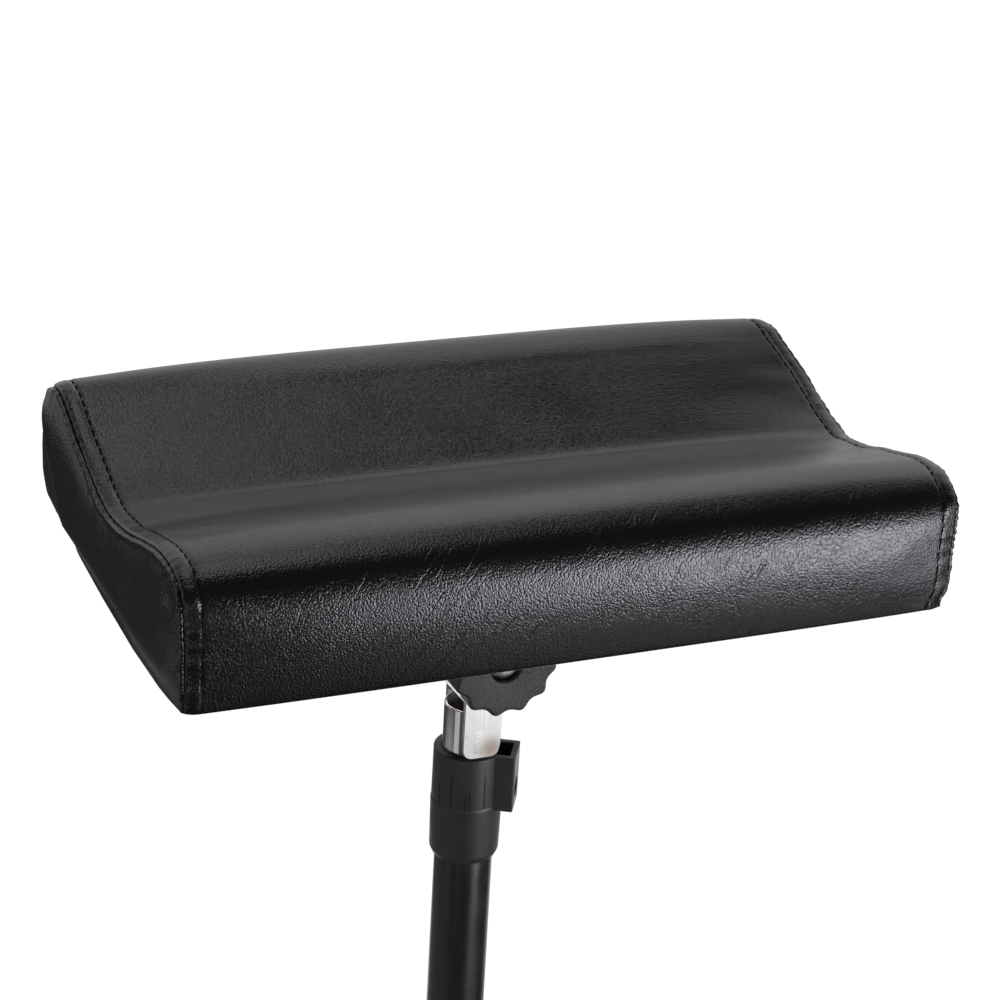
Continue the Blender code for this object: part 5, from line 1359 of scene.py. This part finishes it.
def buildLegCollar():
    low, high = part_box("leg_collar")
    middle = (low.z + high.z) / 2
    ears = []
    pins = []
    across = tripod["gap"] / 2 + tripod["ear"] / 2
    for degrees in tripod["turns"]:
        turn = math.radians(degrees)
        for side in (-1, 1):
            ears.append(plateMesh("ear", nose(0.0150, tripod["reach"], 0.009), tripod["ear"],
                                  standing(turn, side * across + tripod["ear"] / 2, middle)))
        pins.append(acrossRod(tripod["pin"], tripod["reach"], 0.015, turn, middle))
    turn = Matrix.Rotation(footTurn, 4, "Z")
    boss = plateMesh("boss", filleted(box(0.0150, 0.026, -0.009, 0.009), [0, 0.001, 0.001, 0], 4), 0.026,
                     turn @ Matrix.Translation((0, 0, middle - 0.013)))
    start = tripod["barrelBore"] + tripod["ear"] / 2
    floor = middle - 0.005 / math.cos(math.pi / 6) - 0.0003
    pocket = plateMesh("pocket", box(start, start + 0.0056, -0.0053, 0.0053), high.z + 0.002 - floor,
                       turn @ Matrix.Translation((0, 0, floor)))
    outwards = lying((math.cos(footTurn), math.sin(footTurn), 0.0), (0, 0, middle))
    stud = rodMesh(tripod["pin"], 0.0129, 0.028, outwards)
    mesh = carved("legCollar", barrelRing(low.z, high.z, 0.004), adds=ears + [boss], cuts=pins + [pocket, stud])
    piece = addPiece("legCollar", mesh, collarPlastic, "sliding_collar", ["leg_collar"], 30)
    roundEdges(piece, 0.0005, 40)


lockKnob = {
    "radius": 0.0150, "lobe": 0.0016, "lobes": 6, "firstLobe": 0.0, "lobeSteps": 32,
    "thickness": 0.011, "hubRadius": 0.0075, "hubHeight": 0.004, "edge": 0.0018,
    "back": 0.0265, "dish": 0.0007,
}


def buildLockKnob():
    sizes = lockKnob
    low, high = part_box("leg_lock_knob")
    rings, face = knobRings(sizes)
    rings += [roundRing(sizes, 0.0105, face), roundRing(sizes, 0.0100, face - 0.0005),
              roundRing(sizes, 0.0094, face - 0.0005), roundRing(sizes, 0.0089, face - 0.0001),
              roundRing(sizes, 0.0040, face - sizes["dish"]), roundRing(sizes, 0.0004, face - sizes["dish"])]
    rings = [roundRing(sizes, 0.0004, 0.0)] + rings
    out = (math.cos(footTurn), math.sin(footTurn), 0.0)
    seat = lying(out, Vector(out) * sizes["back"] + Vector((0.0, 0.0, (low.z + high.z) / 2)))
    mesh = loftMesh("legLockKnob", rings, seat, closedEnds=True)
    addPiece("legLockKnob", mesh, knobPlastic, "leg_lock", ["leg_lock_knob"], 50)


def buildBraces():
    inner = tripod["gap"] / 2 + 0.0003
    sheet = 0.002
    outer = inner + sheet
    web = 0.0088
    low = -0.008
    section = [(-low, -outer), (-web - sheet, -outer), (-web - sheet, outer), (-low, outer), (-low, inner),
               (-web, inner), (-web, -inner), (-low, -inner)]
    section = filleted(section, [0, 0.002, 0.002, 0, 0, 0.0005, 0.0005, 0], 4)
    link = tripod["link"]
    start, end, ramp = 0.027, link - 0.014, 0.004
    crest = -(web + sheet + 0.002)
    side = arc(0.008, 24, (0.0, 0.0), math.pi, math.pi) + arc(0.008, 24, (0.0, link), 0.0, math.pi)
    side += [(-0.008, end + ramp), (crest, end), (crest, start), (-0.008, start - ramp)]
    over = outer + 0.002
    upright = Matrix.Translation((0.0, over, 0.0)) @ Matrix.Rotation(math.pi / 2, 4, "X")
    for number, degrees in enumerate(tripod["turns"], 1):
        turn = Matrix.Rotation(math.radians(degrees), 4, "Z")
        seat = (turn @ Matrix.Translation((tripod["reach"], 0.0, tripod["hubPivot"]))
                @ Matrix.Rotation(tripod["open"], 4, "Y"))
        channel = plateMesh("channel", section, link + 0.02, Matrix.Translation((0, 0, -0.010)))
        shape = plateMesh("side", side, 2 * over, upright)
        holes = [rodMesh(tripod["pin"], -over, over, lying((0, 1, 0), (0, 0, height))) for height in (0.0, link)]
        mesh = carved("brace", channel, crossings=[shape], cuts=holes)
        mesh.transform(seat)
        piece = addPiece(f"brace{number}", mesh, tubePaint, f"brace_arm_{number}",
                         [f"brace_{number}"], 34)
        roundEdges(piece, 0.0004, 40, 2)


def buildLegs():
    radius, wall, link = tripod["legRadius"], tripod["legWall"], tripod["link"]
    end = -tripod["lengthBelow"]
    reach = tripod["reach"] + link * math.sin(tripod["open"])
    height = tripod["hubPivot"] + link * math.cos(tripod["open"])
    foot, cover = tripod["footRadius"], end + tripod["footCover"]
    bottom = end - tripod["footEnd"]
    tubeLine = filleted([(radius, end), (radius, link - 0.0033), (radius - wall, link - 0.0033),
                         (radius - wall, end)], [0.0002] * 4, 2)
    base = link - 0.003
    capLine = [(0, base - 0.014), (radius - wall - 0.0003, base - 0.014), (radius - wall - 0.0003, base),
               (radius - 0.0003, base), (radius, base + 0.0003)]
    capLine += arc(radius, 16, (0.0, link), 0.0, math.pi / 2)[:-1] + [(0, link + radius)]
    footLine = [(0, bottom), (foot, bottom), (foot, end + 0.004), (foot - 0.0007, end + 0.0048),
                (foot - 0.0007, end + 0.0062), (foot, end + 0.0070), (foot, end + 0.0100),
                (foot - 0.0007, end + 0.0108), (foot - 0.0007, end + 0.0122), (foot, end + 0.0130),
                (foot - 0.0002, cover - 0.002), (foot - 0.0010, cover), (radius + 0.0003, cover),
                (radius + 0.0003, end - 0.0003), (0, end - 0.0003)]
    footRound = [0, 0.0015] + [0.0003] * 8 + [0.0004, 0.0005, 0.0002, 0, 0]
    footLine = filleted(footLine, footRound, 3, closed=False)
    down = Vector((-math.sin(tripod["open"]), 0.0, -math.cos(tripod["open"])))
    for number, degrees in enumerate(tripod["turns"], 1):
        turn = Matrix.Rotation(math.radians(degrees), 4, "Z")
        seat = turn @ Matrix.Translation((reach, 0.0, height)) @ Matrix.Rotation(-tripod["open"], 4, "Y")
        body = f"leg_{number}"
        addPiece(f"legTube{number}", turnedMesh("legTube", tubeLine, 72, seat, ring=True), tubePaint, body,
                 [f"leg_tube_{number}"], 40)
        addPiece(f"legCap{number}", turnedMesh("legCap", capLine, 72, seat), collarPlastic, body,
                 [f"leg_cap_{number}"], 40)
        bm = bmesh.new()
        bm.from_mesh(turnedMesh("foot", footLine, 72))
        parts = bm.verts[:] + bm.edges[:] + bm.faces[:]
        cut = bmesh.ops.bisect_plane(bm, geom=parts, plane_co=down * tripod["soleDrop"], plane_no=down,
                                     clear_outer=True)
        rim = [item for item in cut["geom_cut"] if isinstance(item, bmesh.types.BMEdge)]
        bmesh.ops.contextual_create(bm, geom=rim)
        mesh = bpy.data.meshes.new("foot")
        bm.to_mesh(mesh)
        bm.free()
        mesh.transform(seat)
        addPiece(f"foot{number}", mesh, rubber, body, [f"foot_{number}"], 40)


def buildRivets():
    low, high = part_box("leg_collar")
    top = (low.z + high.z) / 2
    reach = tripod["reach"]
    far = reach + tripod["link"] * math.sin(tripod["open"])
    knee = tripod["hubPivot"] + tripod["link"] * math.cos(tripod["open"])
    for number, degrees in enumerate(tripod["turns"], 1):
        c, s = math.cos(math.radians(degrees)), math.sin(math.radians(degrees))
        places = {"hub_rivet": (reach, tripod["hubPivot"]), "brace_rivet": (far, knee),
                  "leg_rivet_head": (reach, top), "leg_rivet_tail": (reach, top)}
        for name, (out, height) in places.items():
            reTurned(f"{name}_{number}", (-s, c, 0.0), zinc, 0.0007, 48, (out * c, out * s, height))


buildHub()
buildLegCollar()
buildLockKnob()
buildBraces()
buildLegs()
buildRivets()
print("tripod made")


# CAD pieces that stay as they are take the finish of their slot

finishes = {"cover": leather, "board": plywood, "bottom_cloth": dustCloth, "chrome": chrome, "zinc": zinc,
            "black_plastic": collarPlastic, "black_paint": tubePaint, "rubber": rubber}


def finishTheRest():
    slots = {row["node"]: row["material_slot"] for row in frame["record"]["subparts"]}
    for node, piece in frame["nodes"].items():
        if not piece.hide_render:
            for place in piece.material_slots:
                place.link = "OBJECT"
                place.material = finishes[slots[node]]


finishTheRest()


# Camera: the photograph's view, fitted with a frame of 1000 by 1000

camera = {
    "azimuth": math.radians(-23.32),
    "elevation": math.radians(24.0),
    "roll": math.radians(3.25),
    "place": (-0.5566, -1.3118, 0.6557),  # from the pad's underside on the column's axis
    "focalPixels": 3400.0,
    "framePixels": 1000.0,
    "sensor": 36.0,
}


def buildCamera():
    a, e, r = camera["azimuth"], camera["elevation"], camera["roll"]
    look = Vector((-math.sin(a) * math.cos(e), math.cos(a) * math.cos(e), -math.sin(e)))
    level = Vector((math.cos(a), math.sin(a), 0.0))
    top = level.cross(look)
    right = level * math.cos(r) + top * math.sin(r)
    up = top * math.cos(r) - level * math.sin(r)
    data = bpy.data.cameras.new("photoView")
    data.sensor_width = camera["sensor"]
    data.lens = camera["sensor"] * camera["focalPixels"] / camera["framePixels"]
    made = bpy.data.objects.new("photoView", data)
    bpy.context.scene.collection.objects.link(made)
    turn = Matrix((right, up, -look)).transposed().to_4x4()
    made.matrix_world = Matrix.Translation(Vector(camera["place"]) + Vector((0, 0, padLevel))) @ turn
    bpy.context.scene.camera = made


buildCamera()


# Studio

studio = {
    "floor": (0.80, 0.80, 0.80, 1),
    "floorGlow": 0.80,
    "glow": 1.15,
    "world": 0.60,
    "wallGlow": 0.76,  # what glossy pieces see behind the object
    "darkGlow": 0.055,
    "floorDark": 0.055,  # the floor in reflections, away from the two bright pools
    "pools": [  # place, where its edge starts and ends, strength
        ((0.50, -1.04, 0.0), 0.19, 0.40, 1.05), ((0.66, 0.85, 0.0), 0.35, 0.85, 1.30),
        ((0.56, -0.48, 0.0), 0.08, 0.27, 0.60), ((-0.85, 0.20, 0.0), 0.55, 0.85, 0.30),
        ((0.18, 0.62, 0.0), 0.30, 0.48, 1.00),
        ((0.32, -0.60, 0.0), 0.08, 0.25, 0.70)],
    "farFloor": (2.5, 4.5, 0.75),
    "floorSize": 14.0,
    "softboxes": [  # name, place, what it faces, size, power
        ("frontLow", (0.86, -1.38, 0.47), (0.10, -0.12, 0.60), (0.60, 0.80), 18.5),
        ("overhead", (-0.12, 0.40, 2.20), (-0.05, 0.02, 0.60), (1.06, 0.90), 5.4),
        ("backRight", (0.98, 1.50, 2.05), (0.08, -0.05, 0.63), (0.95, 0.40), 1.25),
        ("rightStrip", (1.45, -0.45, 0.30), (0.0, 0.0, 0.40), (0.30, 0.7), 2.6),
        ("frontLeft", (-1.10, -1.45, 0.28), (-0.18, -0.12, 0.60), (0.26, 0.34), 1.1),
        ("leftStrip", (-1.40, -0.35, 0.34), (-0.15, -0.10, 0.58), (0.55, 0.7), 0.5),
    ],
}


def buildLamps():
    for name, place, target, size, power in studio["softboxes"]:
        data = bpy.data.lights.new(name, "AREA")
        data.shape = "RECTANGLE"
        data.size, data.size_y = size
        data.energy = power
        lamp = bpy.data.objects.new(name, data)
        bpy.context.scene.collection.objects.link(lamp)
        lamp.location = place
        lamp.rotation_euler = (Vector(place) - Vector(target)).to_track_quat("Z", "Y").to_euler()


def buildWorld():
    world = bpy.context.scene.world or bpy.data.worlds.new("studio")
    bpy.context.scene.world = world
    world.use_nodes = True
    tree = world.node_tree
    tree.nodes.clear()
    way = addNode(tree, "SeparateXYZ", {"Vector": addNode(tree, "TexCoord").outputs["Generated"]}).outputs
    wall = mathNode(tree, "MULTIPLY", rangeNode(tree, way["Y"], -0.05, 0.50, 0.0, 1.0),
                    rangeNode(tree, way["Z"], 0.48, 0.94, 1.0, 0.0))
    wall = mathNode(tree, "MULTIPLY", wall, rangeNode(tree, way["Z"], -0.05, 0.30, 0.80, 0.95))
    mirrored = rangeNode(tree, wall, 0.0, 1.0, studio["darkGlow"], studio["wallGlow"])
    path = addNode(tree, "LightPath").outputs
    seen = mathNode(tree, "MAXIMUM", path["Is Camera Ray"], path["Is Transmission Ray"])
    shiny = mathNode(tree, "MULTIPLY", path["Is Glossy Ray"], mirrored)
    rest = mathNode(tree, "MULTIPLY", mathNode(tree, "SUBTRACT", 1.0, path["Is Glossy Ray"]), studio["world"])
    strength = mathNode(tree, "MAXIMUM", seen, mathNode(tree, "ADD", shiny, rest))
    glow = addNode(tree, "Background", {"Color": (1, 1, 1, 1), "Strength": strength})
    out = addNode(tree, "OutputWorld")
    tree.links.new(glow.outputs[0], out.inputs["Surface"])


def buildFloor():
    size = studio["floorSize"]
    mesh = meshOf("studioFloor", [(x * size, y * size, 0.0) for x, y in ((-1, -1), (1, -1), (1, 1), (-1, 1))],
                  [(0, 1, 2, 3)])
    material, tree, shader = startMaterial("paleFloor")
    shader.inputs["Base Color"].default_value = studio["floor"]
    shader.inputs["Roughness"].default_value = 0.9
    place = addNode(tree, "TexCoord").outputs["Object"]
    mirrored = None
    for centre, inner, outer, level in studio["pools"]:
        away = addNode(tree, "VectorMath", {0: place, 1: centre}, operation="DISTANCE").outputs["Value"]
        pool = rangeNode(tree, away, inner, outer, level, studio["floorDark"])
        mirrored = pool if mirrored is None else mathNode(tree, "MAXIMUM", mirrored, pool)
    start, end, level = studio["farFloor"]
    away = addNode(tree, "VectorMath", {0: place}, operation="LENGTH").outputs["Value"]
    mirrored = mathNode(tree, "MAXIMUM", mirrored, rangeNode(tree, away, start, end, studio["floorDark"], level))
    path = addNode(tree, "LightPath").outputs
    plain = mathNode(tree, "MULTIPLY", path["Is Camera Ray"], studio["floorGlow"])
    strength = mathNode(tree, "ADD", mathNode(tree, "MULTIPLY", path["Is Camera Ray"], studio["glow"]),
                        mathNode(tree, "MULTIPLY", path["Is Glossy Ray"], mirrored))
    glow = addNode(tree, "Emission", {"Color": (1, 1, 1, 1), "Strength": strength})
    mixed = addNode(tree, "MixShader", {0: mathNode(tree, "MAXIMUM", plain, path["Is Glossy Ray"]),
                                        1: shader.outputs["BSDF"], 2: glow.outputs[0]})
    tree.links.new(mixed.outputs[0], tree.nodes["Material Output"].inputs["Surface"])
    mesh.materials.append(material)
    floor = bpy.data.objects.new("studioFloor", mesh)
    bpy.context.scene.collection.objects.link(floor)


buildLamps()
buildWorld()
buildFloor()
bpy.context.scene.view_settings.view_transform = "Standard"
print("studio made")
